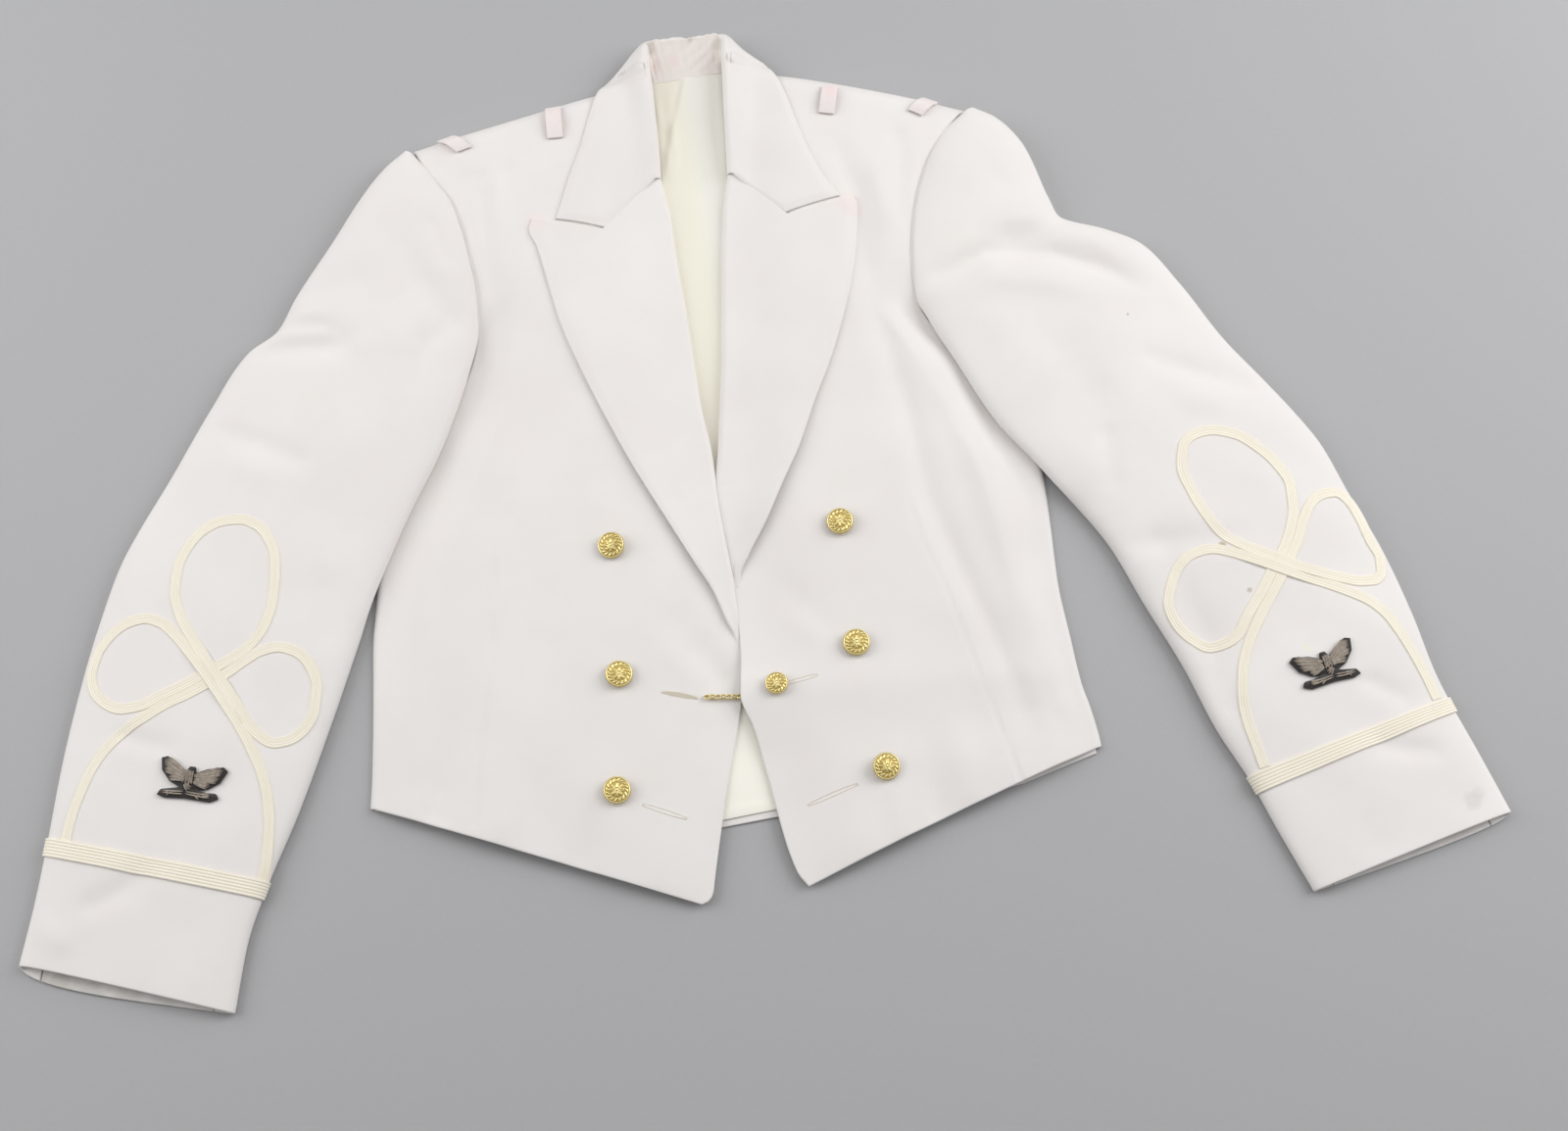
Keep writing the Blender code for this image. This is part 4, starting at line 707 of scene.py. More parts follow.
# How far each lapel's edge stands off the chest: the share of its length, and the lift
STAND_OFF_RIGHT = ((0, 0), (0.3, 0.3), (0.5, 1.6), (0.7, 3.0), (0.82, 2.8), (0.93, 0.8), (1, 0))
STAND_OFF_LEFT = ((0, 0), (0.35, 0.2), (0.55, 1.4), (0.78, 4.6), (0.92, 1.8), (1, 0))


class Ground:
    """The highest of some upper surfaces, kept in plan cells a millimetre wide."""

    def __init__(self, *surfaces):
        points = np.concatenate([self.between(each).reshape(-1, 3) for each in surfaces])
        self.low = points[:, :2].min(axis=0) - 8
        size = np.ceil(points[:, :2].max(axis=0) + 8 - self.low).astype(int) + 1
        self.field = np.full(size, -1.0)
        cell = np.round(points[:, :2] - self.low).astype(int)
        np.maximum.at(self.field, (cell[:, 0], cell[:, 1]), points[:, 2])
        for _ in range(2):
            self.field = np.where(self.field < -0.5, self.around(np.maximum.reduce), self.field)
        for _ in range(2):
            known = self.field > -0.5
            total = self.around(np.add.reduce, np.where(known, self.field, 0))
            count = self.around(np.add.reduce, known.astype(float))
            self.field = np.where(known, total / np.maximum(count, 1), self.field)

    @staticmethod
    def between(grid, times=6):
        """A grid with more points on the straight lines between its own."""
        for axis in (0, 1):
            at = np.linspace(0, grid.shape[axis] - 1, (grid.shape[axis] - 1) * times + 1)
            low = np.minimum(at.astype(int), grid.shape[axis] - 2)
            first, second = np.take(grid, low, axis), np.take(grid, low + 1, axis)
            share = (at - low).reshape((-1, 1, 1) if axis == 0 else (1, -1, 1))
            grid = first + (second - first) * share
        return grid

    def around(self, rule, field=None):
        """Each cell joined by a rule with the eight cells round it."""
        outside = -1.0 if field is None else 0
        field = np.pad(self.field if field is None else field, 1, constant_values=outside)
        rows, columns = field.shape
        return rule([field[a:rows - 2 + a, b:columns - 2 + b] for a in range(3) for b in range(3)])

    def here(self, xy):
        """The height at plan points, straight between the cells."""
        at = np.clip(xy - self.low, 0, np.array(self.field.shape) - 1.001)
        cell = at.astype(int)
        i, j = cell[..., 0], cell[..., 1]
        t, s = np.moveaxis(at - cell, -1, 0)
        field = self.field
        return ((field[i, j] * (1 - t) + field[i + 1, j] * t) * (1 - s)
                + (field[i, j + 1] * (1 - t) + field[i + 1, j + 1] * t) * s)

    def heights(self, xy, spread=0.0):
        """The most within a spread of each plan point."""
        angles = np.arange(8) * math.pi / 4 if spread else ()
        ring = [np.array([math.cos(a), math.sin(a)]) * spread for a in angles]
        return np.maximum.reduce([self.here(xy)] + [self.here(xy + each) for each in ring])

    def laid(self, xy, out, spread=0.0, reach=2.5):
        """Plan points put on the surface and moved out square to it."""
        east, north = np.array([reach, 0.0]), np.array([0.0, reach])
        slope_x = (self.heights(xy + east) - self.heights(xy - east)) / (2 * reach)
        slope_y = (self.heights(xy + north) - self.heights(xy - north)) / (2 * reach)
        up = unit(np.stack([-np.clip(slope_x, -2, 2), -np.clip(slope_y, -2, 2),
                            np.ones_like(slope_x)], -1))
        on_it = np.concatenate([xy, self.heights(xy, spread)[..., None]], -1)
        return on_it + up * np.asarray(out)[..., None]


def notched(start, end, share, dip, notch):
    """Points at shares of the way across, lowered by a tent with its corner at the notch."""
    points = start[:, None] * (1 - share[..., None]) + end[:, None] * share[..., None]
    points[..., 1] -= dip[:, None] * np.minimum(share / notch, (1 - share) / (1 - notch))
    return points


def lapel_grid(table, notch, towards, stand_off, ground, seed, rows=190):
    """A lapel: an arc of 120 degrees round the front edge, then laid on the front.

    Beyond the roll it stands off by a bell of the distance from it, and its outer
    edge lifts by the square of the share of the way across. The edge itself is
    pressed down, and its foot sinks into the front.
    """
    row = at_rows(table, LAPEL_COLUMNS, np.linspace(0, down(table), rows))
    facing = np.tile(towards, (rows, 1))
    radius = ROLL * row["roll"]
    centre = spot(row, "roll") + facing * (radius + FACE_WALL / 2)[:, None]
    level = ground.heights(centre + facing * 1.5, 1.0) - FACE_WALL / 2
    angles = np.radians(np.linspace(*ROLL_ARC))
    turn_xy = centre[:, None] - facing[:, None] * (radius[:, None] * np.cos(angles))[..., None]
    turn_z = level[:, None] + radius[:, None] * np.sin(angles)
    turn = np.concatenate([turn_xy, turn_z[..., None]], -1)
    share = np.concatenate([np.linspace(0, notch, 24)[1:], np.linspace(notch, 1, 26)[1:]])
    plan = notched(centre, spot(row, "outer"), np.tile(share, (rows, 1)), row["dip"], notch)
    rest = np.linalg.norm(plan - centre[:, None], axis=-1)
    floor = ground.heights(plan, 3.0) + LAID_GAP + FACE_WALL / 2
    over_roll = np.maximum((level + radius)[:, None] - floor[:, :1], 0.2)
    over_roll = over_roll * np.exp(-((rest / ROLL_SOFT) ** 2))
    x, y = plan[..., 0], plan[..., 1]
    lift = np.interp(np.linspace(0, 1, rows), *np.array(stand_off).T)[:, None] * share**2
    loose = LAPEL_LOOSE * (1 + uneven(x, y, 60, seed)) * smooth(rest / 20)
    height = floor + over_roll + lift + loose
    height = height - LAPEL_THIN * smooth((share - 0.9) / 0.1)
    grid = np.concatenate([turn, np.concatenate([plan, height[..., None]], -1)], axis=1)
    grid[..., 2] -= LAPEL_SINK * smooth((np.linspace(0, 1, rows)[:, None] - 0.93) / 0.07)
    return grid


chest = {side: Ground(top) for side, top in front_tops.items()}
for side, table, notch, towards, stand_off, seed, long, area in (
        ("right", LAPEL_RIGHT, NOTCH_RIGHT, (-1.0, -0.12), STAND_OFF_RIGHT, 21, 0.40, 0.0234),
        ("left", LAPEL_LEFT, NOTCH_LEFT, (1.0, 0.0), STAND_OFF_LEFT, 22, 0.36, 0.0217)):
    lapel, _ = shell("lapel_turned_" + side,
                     lapel_grid(table, notch, towards, stand_off, chest[side], seed),
                     FACE_WALL, twill, ["lapel_" + side])
    "front_panel_" + side


# The collar: its fall rolls over from the fold and lies on the shoulders, and its
# ends meet the lapels at the gorge. It is the same twill, with no braid.
COLLAR_MID = 0.52
COLLAR_ARC = (0, 88, 11)
# Where the neck's back part begins and ends across, and the line it lies behind
NECK_FROM, NECK_TO, NECK_LINE = -98, -43, 346
COLLAR_COLUMNS = ("fold_x", "fold_y", "fold_z", "mid_x", "mid_y", "mid_z",
                  "edge_x", "edge_y", "edge_z", "dip", "drop")
COLLAR = (
    (-86.5, 242.6, 12, -126, 226.2, 11, -164, 206, 11, 26, 4),
    (-87.2, 254, 13, -124, 236, 14, -160.5, 218, 12, 17, 6),
    (-89, 275, 15, -122, 258, 17, -155, 240, 13, 4, 8),
    (-91.5, 297, 17, -119, 281, 19, -148, 262, 13, 0, 9),
    (-94, 318, 18, -117, 304, 20, -142, 288, 13, 0, 9),
    (-96.5, 337, 18.5, -117, 326.5, 18, -136, 312, 12.5, 0, 8),
    (-98, 351, 17.5, -113.5, 342, 13, -124.5, 330, 6, 0, 4),
    (-94.5, 354, 14, -103.5, 355, 10, -107, 338, 1.6, 0, 1.2),
    (-82, 353.5, 12.5, -84, 360, 8, -84, 341, 1.0, 0, 1.2),
    (-70, 354, 12.5, -70, 361.5, 8, -69, 343, 1.0, 0, 1.2),
    (-58, 356, 12.5, -54, 363.5, 8, -54, 346, 1.0, 0, 1.2),
    (-47, 359.5, 14, -38, 363.5, 9.5, -33, 348, 1.4, 0, 1.2),
    (-42.4, 357, 17.5, -29, 354.6, 13, -15, 345.5, 7, 0, 4),
    (-42, 343, 18.5, -23.5, 339, 18, -1.8, 330, 12, 0, 8),
    (-41, 324, 18, -17, 319, 20, 7, 311, 13, 0, 9),
    (-40, 302, 17, -13, 296, 19, 15, 288, 13, 0, 9),
    (-38.6, 280, 15, -6, 272, 17, 24.5, 263, 13, 5, 8),
    (-37.4, 258, 13, 0, 248, 14, 38, 238.5, 12, 18, 6),
    (-36.8, 246.2, 12, 6, 237.3, 11, 48, 225.4, 11, 24.6, 4),
)


def collar_grid(ground, rows=230):
    """The fall: an arc round the fold, then a parabola through its middle and edge points.

    Near its two ends it lies on the fronts instead, and behind the neck it ripples.
    """
    table = np.array(COLLAR, float)
    at = np.linspace(0, 1, rows)
    knots = lengths(table[:, 3:5])
    row = dict(zip(COLLAR_COLUMNS, curve(knots, table, at * knots[-1]).T))
    fold, mid, edge = spot(row, "fold"), spot(row, "mid", "xyz"), spot(row, "edge", "xyz")
    outward = unit(mid[:, :2] - fold)
    centre = fold + outward * (ROLL + FACE_WALL / 2)
    angles = np.radians(np.linspace(*COLLAR_ARC))
    turn_xy = centre[:, None] - outward[:, None] * (ROLL * np.cos(angles))[None, :, None]
    turn_z = row["fold_z"][:, None] + ROLL * np.sin(angles)[None]
    turn = np.concatenate([turn_xy, turn_z[..., None]], -1)
    drop = np.linspace(1, 0, 6)[:-1]
    inside = np.repeat(turn[:, :1], len(drop), axis=1)
    inside[..., 2] -= row["drop"][:, None] * drop[None]
    s = np.concatenate([np.linspace(0, COLLAR_MID, 22)[1:], np.linspace(COLLAR_MID, 1, 20)[1:]])
    top = np.concatenate([centre, (row["fold_z"] + ROLL)[:, None]], -1)
    body = (top[:, None] * ((1 - s) * (1 - 2 * s))[None, :, None]
            + mid[:, None] * (4 * s * (1 - s))[None, :, None]
            + edge[:, None] * (s * (2 * s - 1))[None, :, None])
    body[..., 1] -= row["dip"][:, None] * np.minimum(s / COLLAR_MID, (1 - s) / (1 - COLLAR_MID))
    floor = ground.heights(body[..., :2], 4.0) + LAID_GAP + FACE_WALL / 2
    lies = smooth((np.abs(2 * at - 1) - 0.30) / 0.12)[:, None]
    rest = np.linalg.norm(body[..., :2] - centre[:, None], axis=-1)
    over_fold = np.maximum(top[:, None, 2] - floor[:, :1], 0.8)
    settled = floor + over_fold * np.exp(-((rest / ROLL_SOFT) ** 2))
    body[..., 2] = lies * settled + (1 - lies) * np.maximum(body[..., 2], floor)
    ends = smooth((np.abs(2 * at - 1) - 0.975) / 0.025)[:, None]
    body[..., 2] -= LAPEL_THIN * lies * np.maximum(smooth((s - 0.9) / 0.1), ends)
    grid = np.concatenate([inside, turn, body], axis=1)
    x, y = grid[..., 0], grid[..., 1]
    behind = smooth((x - NECK_FROM) / 8) * smooth((NECK_TO - x) / 8) * smooth((y - NECK_LINE) / 6)
    grid[..., 1] += 0.9 * behind * uneven(x, 0 * x, 9, 41)
    grid[..., 2] += 0.6 * behind * uneven(x, y * 0.3, 6, 42)
    return grid


shoulders = Ground(*front_tops.values())
collar, _ = shell("collar_fall", collar_grid(shoulders), FACE_WALL, twill, ["collar"])


# The inside of the collar's stand, which shows at the back of the neck: cloth of a
# pinker white, sewn to the lining at its foot and a little frayed along its top.
STAND_FOOT = 5.0
STAND_RISE = 13.6
STAND_WALL = 1.6
STAND_WIDE = 60
STAND = (
    (-96.6, 326.9, -99.0, 353),
    (-91, 328.2, -94.5, 356.6),
    (-82, 329.8, -84, 357.2),
    (-69, 332.3, -70, 358.0),
    (-57, 334.6, -57, 360.4),
    (-49, 336.2, -47, 362.8),
    (-42.0, 337.6, -42.0, 358),
)


def stand_grid(rows=150, columns=22):
    """The stand: straight from seam to fold, rising by a power, with upright puckers.

    The puckers are deepest at the right end and past the middle. The top edge is
    frayed by a power of the share of the way up.
    """
    table = np.array(STAND, float)
    t = np.linspace(0, 1, rows)
    seam_x, seam_y, top_x, top_y = curve(np.linspace(0, 1, len(table)), table, t).T[..., None]
    s = np.linspace(0, 1, columns)
    far = t * STAND_WIDE
    frayed = 0.5 + 0.7 * uneven(far, 0 * far, 6.5, 5) + 0.4 * uneven(far, 0 * far, 2.6, 8)
    t, far, frayed = t[:, None], far[:, None], frayed[:, None] * s**4
    x = seam_x * (1 - s) + top_x * s
    x = x + 1.6 * (2 * t - 1) ** 5
    y = seam_y * (1 - s) + top_y * s + frayed - 0.8 * (1 - s) ** 6
    crumpled = 0.35 + 1.5 * np.exp(-((t / 0.16) ** 2)) + 0.6 * np.exp(-(((t - 0.62) / 0.12) ** 2))
    between = np.sin(math.pi * np.clip(s * 0.95, 0, 1)) ** 0.7
    pucker = crumpled * uneven(far + 0 * s, 0 * far + 26 * s, 7.5, 6) * between
    z = STAND_FOOT + STAND_RISE * s**1.25 + 0.6 * pucker + 0.8 * s**6
    return np.stack([x, y, z + 0 * x], axis=-1)


# Marks on the stand: painted shade under the collar's fold at both ends (the grey-brown one at x
# -96, y 352 and the grey-green pair at x -45), two pink stains, and a dark spot on the top edge;
# where each is, how far it reaches, its colour and how strong it is
STAND_MARKS_AND_SHADE = (
    (-96, 352, 6, (0.50, 0.42, 0.36), 0.5), (-94, 340, 7, (0.76, 0.62, 0.58), 0.4),
    (-45, 356, 5, (0.56, 0.54, 0.46), 0.5), (-44, 344, 5, (0.66, 0.64, 0.56), 0.4),
    (-78, 344, 6, (0.86, 0.68, 0.68), 0.35), (-66, 358, 3, (0.55, 0.48, 0.42), 0.5),
)
pink_twill = white_twill("pinkish_twill", (0.84, 0.79, 0.75), STAND_MARKS_AND_SHADE)
stand, _ = shell("stand_inside", stand_grid(), STAND_WALL, pink_twill, ["collar_stand"])


# The sleeves: two pieces each, the top one wrapping both folds. They lie spread on
# the table, flattened, with a deep fold at the elbow bend and a hemmed cuff.
TABLE_Z = FACE_WALL / 2
TUBE_POWER = 0.4
CAP_POWER = 1.0
CAP_LONG = 170.0
TUCK = 14.0
# What is turned under at each fold: how far it reaches in, and how high it rises
TUCK_IN = np.array((TUCK, 9.0, 4.0, 1.0, 0.1))
TUCK_RISE = np.array((0, 0, 0, 0.5, 2.4))
NARROW = 60
CUFF_SKEW = 0.5
MOUTH_LIFT = 0.15
SLEEVE_ROWS = 220
SLEEVE_SWELL = 0.6
SLEEVE_WAVE = 70
SLEEVE_COLUMNS = ("outer_x", "outer_y", "inner_x", "inner_y", "crown", "foot",
                  "over", "under_in", "under_z", "bow")
SLEEVE_RIGHT = (
    (-279.5, 265, -274.6, 262, 16, 12.5, 0, 2.5, 1.0, 0),
    (-294, 251.5, -259.5, 244.3, 19, 13.6, 0, 2.5, 1.0, 0),
    (-309.5, 228.5, -240.6, 218.2, 21.4, 14.2, 0, 2.5, 1.0, 0),
    (-330.5, 189, -226.3, 175.5, 21, 13.8, 0, 2.5, 1.0, 0),
    (-354, 146, -219.2, 141, 20, 10.6, 0, 4, 1.0, 0),
    (-366.5, 118, -219.4, 116, 19, 7.6, 0, 15.5, 3.4, 0),
    (-387, 101, -225.5, 84, 18, 6, 0, 15.4, 5.0, 0),
    (-411.5, 55, -242, 27, 17, 6, 22, 14.4, 5.8, 0),
    (-435, 3.5, -263.5, -25, 16.5, 6, 13, 14.4, 5.8, 0),
    (-456, -40, -279, -68, 16, 5.8, 3, 14.4, 5.0, 0),
    (-465, -62, -287, -92, 15.5, 4.4, -3, 14.4, 3.0, 0),
    (-472, -88, -294, -118, 15, 1.4, -10, 14.4, 1.0, 0),
    (-482, -136, -310, -177, 14, 1.0, -20, 14.4, 1.0, 0),
    (-492, -205, -328.5, -240, 12.5, 1.0, -20, 14.4, 1.0, 0),
    (-497, -262, -346.5, -291.5, 11.5, 1.0, -20, 14.4, 1.0, 0),
    (-501, -300, -356.5, -329, 10.5, 1.0, -20, 14.4, 1.0, 3.6),
    (-507.5, -344, -361.5, -375, 9.5, 1.0, -20, 14.4, 1.0, 7.6),
)
SLEEVE_LEFT = (
    (150, 302, 143.2, 298, 16, 12.5, 0, 2.5, 1.0, 0),
    (166, 295, 125.0, 278.4, 19, 13.6, 0, 2.5, 1.0, 0),
    (187, 271, 110.6, 247.4, 21.4, 14.2, 0, 2.5, 1.0, 0),
    (204, 228, 102.2, 207.6, 21, 13.8, 0, 2.5, 1.0, 0),
    (212.5, 211.5, 100.6, 180, 20, 12.8, 0, 2.5, 1.0, 0),
    (246, 201.5, 102.8, 150, 19.5, 9.6, 0, 4, 1.0, 0),
    (271, 191, 113, 129, 19, 7.4, 2, 15.5, 3.4, 0),
    (299, 158, 132, 97, 18, 6, 9, 15.4, 5.0, 0),
    (328.5, 114, 161, 48.5, 17, 6, 20, 14.4, 5.8, 0),
    (359, 77.5, 188, 17, 16.5, 6, 6, 14.4, 5.8, 0),
    (378, 54, 203, -1, 16, 5.6, -6, 14.4, 4.6, 0),
    (394, 31, 219.5, -19, 15.5, 1.6, -16, 14.4, 1.0, 0),
    (411, -6, 239, -45, 15, 1.0, -20, 14.4, 1.0, 0),
    (432, -50, 261.5, -88, 14.5, 1.0, -20, 14.4, 1.0, 0),
    (449, -97, 287.5, -136, 14, 1.0, -20, 14.4, 1.0, 0),
    (461, -138, 307, -179, 12.5, 1.0, -20, 14.4, 1.0, 0),
    (470, -161, 329, -217, 11.5, 1.0, -20, 14.4, 1.0, 0),
    (486, -196, 346, -252, 10.5, 1.0, -20, 14.4, 1.0, 1.8),
    (505, -239, 367, -293, 9.5, 1.0, -20, 14.4, 1.0, 4.0),
)
# Large folds: how far down, how deep and wide, from and to which share of the way
# across, and their slant
FOLDS_RIGHT = ((166, 5.0, 15, -0.1, 0.55, -22), (290, 1.6, 26, 0.5, 1.1, 20),
               (505, 1.2, 24, 0.4, 1.1, -12))
FOLDS_LEFT = ((118, 5.5, 14, -0.1, 0.62, 18), (255, 1.8, 26, 0.45, 1.1, 24),
              (470, 1.4, 24, 0.35, 1.1, 14))
SLEEVE_CREASES_RIGHT = (
    ((-368, 124, 0, 5), (-350, 121, 1.2, 6), (-332, 121, 1.6, 6.5), (-319, 116, 1.0, 7),
     (-306, 110, 0, 7)),
    ((-336, 128, 0, 9), (-325, 117, -0.8, 9), (-304, 107, -0.8, 10), (-286, 102, 0, 10)),
    ((-298, 212, 0, 12), (-287, 196, 0.9, 13), (-262, 156, 1.4, 12), (-242, 131, 1.2, 10),
     (-234, 118, 0, 9)),
    ((-232, 130, 0, 8), (-237, 121, 0.9, 8), (-254, 106, 1.2, 9), (-258, 75, 0.8, 11),
     (-258, 50, 0, 12)),
    ((-250, 150, 0, 11), (-262, 130, -0.8, 11), (-276, 104, -0.7, 12), (-282, 80, 0, 12)),
    ((-260, 208, 0, 6), (-256, 201, 0.9, 6), (-245, 176, 0.9, 6), (-240, 164, 0, 6)),
    ((-408, 42, 0, 8), (-397, 37, 0.9, 9), (-371, 28, 1.3, 9), (-343, 16, 0.9, 9),
     (-330, 10, 0, 9)),
    ((-400, 18, 0, 10), (-372, 6, -0.8, 10), (-346, -6, 0, 10)),
    ((-346, 140, 0, 10), (-337, 146, 0.8, 12), (-312, 157, 0.8, 12), (-300, 162, 0, 12)),
    ((-322, -60, 0, 8), (-318, -81, 0.9, 8), (-313, -113, 0.8, 9), (-312, -130, 0, 9)),
    ((-462, -184, 0, 6), (-451, -187, 0.9, 7), (-421, -195, 0.8, 8), (-412, -198, 0, 8)),
    ((-474, -310, 0, 8), (-462, -304, 1.0, 9), (-439, -291, 1.1, 9), (-426, -281, 0.5, 9),
     (-418, -276, 0, 9)),
    ((-504, -318, 0, 7), (-498, -316, -0.7, 8), (-481, -327, -0.8, 9), (-470, -336, 0, 9)),
    ((-420, -290, 0, 12), (-408, -320, 0.6, 14), (-400, -350, 0, 14)),
    ((-300, 30, 0, 12), (-330, -20, 0.7, 14), (-356, -60, 0, 14)),
    ((-440, -60, 0, 10), (-430, -20, 0.6, 12), (-410, 10, 0, 12)),
)
SLEEVE_CREASES_LEFT = (
    ((108, 150, 0, 7), (122, 162, 1.4, 8), (155, 179, 2.1, 8), (204, 179, 2.3, 8),
     (237, 169, 1.9, 8),
     (268, 154, 0.9, 8), (280, 148, 0, 8)),
    ((150, 202, 0, 10), (190, 204, -1.1, 10), (230, 194, -1.2, 10), (262, 178, -0.6, 9),
     (276, 168, 0, 8)),
    ((128, 140, 0, 10), (160, 156, -1.1, 10), (200, 156, -1.2, 10), (236, 146, -0.6, 10),
     (250, 140, 0, 10)),
    ((280, 180, 0, 7), (282, 171, 0.7, 8), (284, 140, 0.7, 9), (284, 124, 0, 9)),
    ((262, 100, 0, 8), (274, 96, 0.9, 9), (305, 85, 1.2, 9), (338, 76, 0.9, 9), (350, 74, 0, 9)),
    ((276, 74, 0, 10), (306, 62, -0.8, 10), (336, 54, 0, 10)),
    ((238, 48, 0, 8), (239, 35, 0.9, 8), (241, 1, 0.8, 8), (242, -12, 0, 8)),
    ((244, -50, 0, 9), (256, -48, 0.8, 9), (270, -44, 1.0, 10), (294, -44, 0.9, 10),
     (326, -41, 0.6, 10), (340, -40, 0, 10)),
    ((300, -134, 0, 8), (305, -149, 0.7, 9), (310, -165, 0.7, 9), (314, -178, 0, 9)),
    ((406, -144, 0, 7), (415, -148, 0.9, 7), (435, -158, 0.8, 8), (446, -164, 0, 8)),
    ((410, -190, 0, 8), (421, -193, 0.9, 8), (439, -196, 1.1, 8), (455, -197, 0.8, 8),
     (466, -198, 0, 8)),
    ((268, -36, 0, 10), (274, -50, 0.8, 11), (298, -108, 0.9, 11), (319, -165, 0.8, 11),
     (326, -186, 0, 10)),
    ((180, 120, 0, 14), (210, 100, 0.8, 15), (232, 70, 0.7, 14), (246, 44, 0, 14)),
    ((392, -240, 0, 12), (410, -262, 0.6, 12), (420, -276, 0, 12)),
    ((148, 262, 0, 10), (168, 236, 0.7, 12), (178, 216, 0, 12)),
)


def fold_depth(folds, at, share):
    """How deep the large folds are: a bell across each, fading at both of its ends."""
    depth = np.zeros((len(at), share.shape[1]))
    for down_at, deep, wide, start, end, slant in folds:
        middle = down_at + slant * (share - 0.3)
        along = smooth((share - start) / 0.25) * smooth((end - share) / 0.25)
        depth += deep * along * np.exp(-(((at[:, None] - middle) / wide) ** 2))
    return depth


def sleeve_rows(table, at):
    """A sleeve table's columns at distances down it, and its width from fold to fold there."""
    row = {key: value[:, None] for key, value in at_rows(table, SLEEVE_COLUMNS, at).items()}
    return row, np.hypot(row["inner_x"] - row["outer_x"], row["inner_y"] - row["outer_y"])


def sleeve_plan(row, share, height):
    """Points at shares of the way from the outer to the inner fold, with their heights."""
    share = share[..., None]
    plan = spot(row, "outer") * (1 - share) + spot(row, "inner") * share
    return np.concatenate([plan, height[..., None]], -1)


def mouth_bow(share):
    """How far the mouth's lower edge hangs, from 0 to 1: the sine of a root of the share.

    That puts its lowest part nearer to the outer fold.
    """
    return np.sin(math.pi * np.clip(share, 0, 1) ** CUFF_SKEW)


ARCH = np.radians(np.concatenate([(5, 8, 12, 17, 23, 30, 38), np.linspace(46, 134, 34),
                                  (142, 150, 157, 163, 168, 172, 175)]))


def top_sleeve_grid(table, folds, creases, at, seed):
    """The top sleeve: tucked under, up the outer fold, over and down the inner one.

    Between the folds its height is the crown times a low power of the sine. At the
    mouth what is turned under hangs by the bow, and the upper side draws back by a
    small share of it.
    """
    row, width = sleeve_rows(table, at)
    over = (1 - np.cos(ARCH))[None] / 2 * width
    near_cap = smooth((CAP_LONG - at[:, None]) / 60) * (ARCH[None] > math.pi / 2)
    arch = np.sin(ARCH)[None] ** (TUBE_POWER + (CAP_POWER - TUBE_POWER) * near_cap)
    foot = row["foot"]
    ground = np.where(ARCH[None] > math.pi / 2, foot, TABLE_Z)
    height = ground + (row["crown"] - ground) * arch - fold_depth(folds, at, over / width) * arch**2
    low = TUCK_IN[None] * np.minimum(1, width / NARROW)
    start_z = TABLE_Z + TUCK_RISE[None] + 0 * width
    back_down = TUCK_RISE[None, ::-1]
    most = (row["crown"] - foot) * 0.35 * back_down / TUCK_RISE[-1]
    end_z = foot + np.minimum(back_down, most)
    reach = np.concatenate([low, over, width - low[:, ::-1]], axis=1)
    points = sleeve_plan(row, reach / width, np.concatenate([start_z, height, end_z], axis=1))
    tucked = len(TUCK_IN)
    hangs = np.concatenate([np.ones(tucked), np.full(len(ARCH), -MOUTH_LIFT), np.ones(tucked)])
    points[..., 1] -= row["bow"] * hangs * mouth_bow(reach / width)
    x, y = points[..., 0], points[..., 1]
    share = np.clip(reach / width, 0.002, 0.998)
    loose = smooth(np.minimum(share, 1 - share) * 9) * smooth((at[:, None] - 8) / 24)
    loose[:, :tucked] = loose[:, -tucked:] = 0
    creases_and_shade = CREASED * pressed(x, y, creases) + SLEEVE_SWELL * uneven(x, y, SLEEVE_WAVE, seed)
    points[..., 2] -= creases_and_shade * loose
    return points


def under_sleeve_grid(table, at, columns=30):
    """The under sleeve: on the table, and stepping up where it lies over the body."""
    row, width = sleeve_rows(table, at)
    narrow = np.minimum(1, width / NARROW)
    start = TUCK * narrow + 0.5
    end = width - row["under_in"] * narrow
    span = end - start
    level = np.minimum(np.maximum(row["over"] - row["under_in"], 0) + 3, 0.3 * span)
    foot = np.minimum(level + 18, 0.6 * span)
    reach = start + span * np.linspace(0, 1, columns)[None]
    climb = smooth((reach - (end - foot)) / (foot - level)) * 0.96
    share = reach / width
    points = sleeve_plan(row, share, TABLE_Z + (row["under_z"] - TABLE_Z) * climb)
    points[..., 1] -= row["bow"] * mouth_bow(share)
    return points


# Painted shade inside each cuff's mouth, on the under sleeve where the top sleeve overhangs it:
# where each is, how far it reaches, its colour and how strong it is
CUFF_MOUTH_SHADE = (
    (-498, -349, 11, (0.50, 0.48, 0.45), 0.7), (-480, -355, 13, (0.52, 0.50, 0.46), 0.7),
    (-460, -361, 14, (0.56, 0.55, 0.51), 0.65), (-436, -367, 14, (0.60, 0.59, 0.55), 0.6),
    (-410, -371, 13, (0.64, 0.63, 0.60), 0.5), (494, -243, 12, (0.66, 0.64, 0.63), 0.3),
    (470, -253, 14, (0.66, 0.64, 0.63), 0.35), (444, -265, 14, (0.66, 0.64, 0.63), 0.35),
    (418, -276, 14, (0.66, 0.64, 0.63), 0.3), (394, -286, 12, (0.68, 0.66, 0.65), 0.2),
)
shaded_twill = white_twill("shaded_twill", CLOTH_WHITE, CUFF_MOUTH_SHADE)


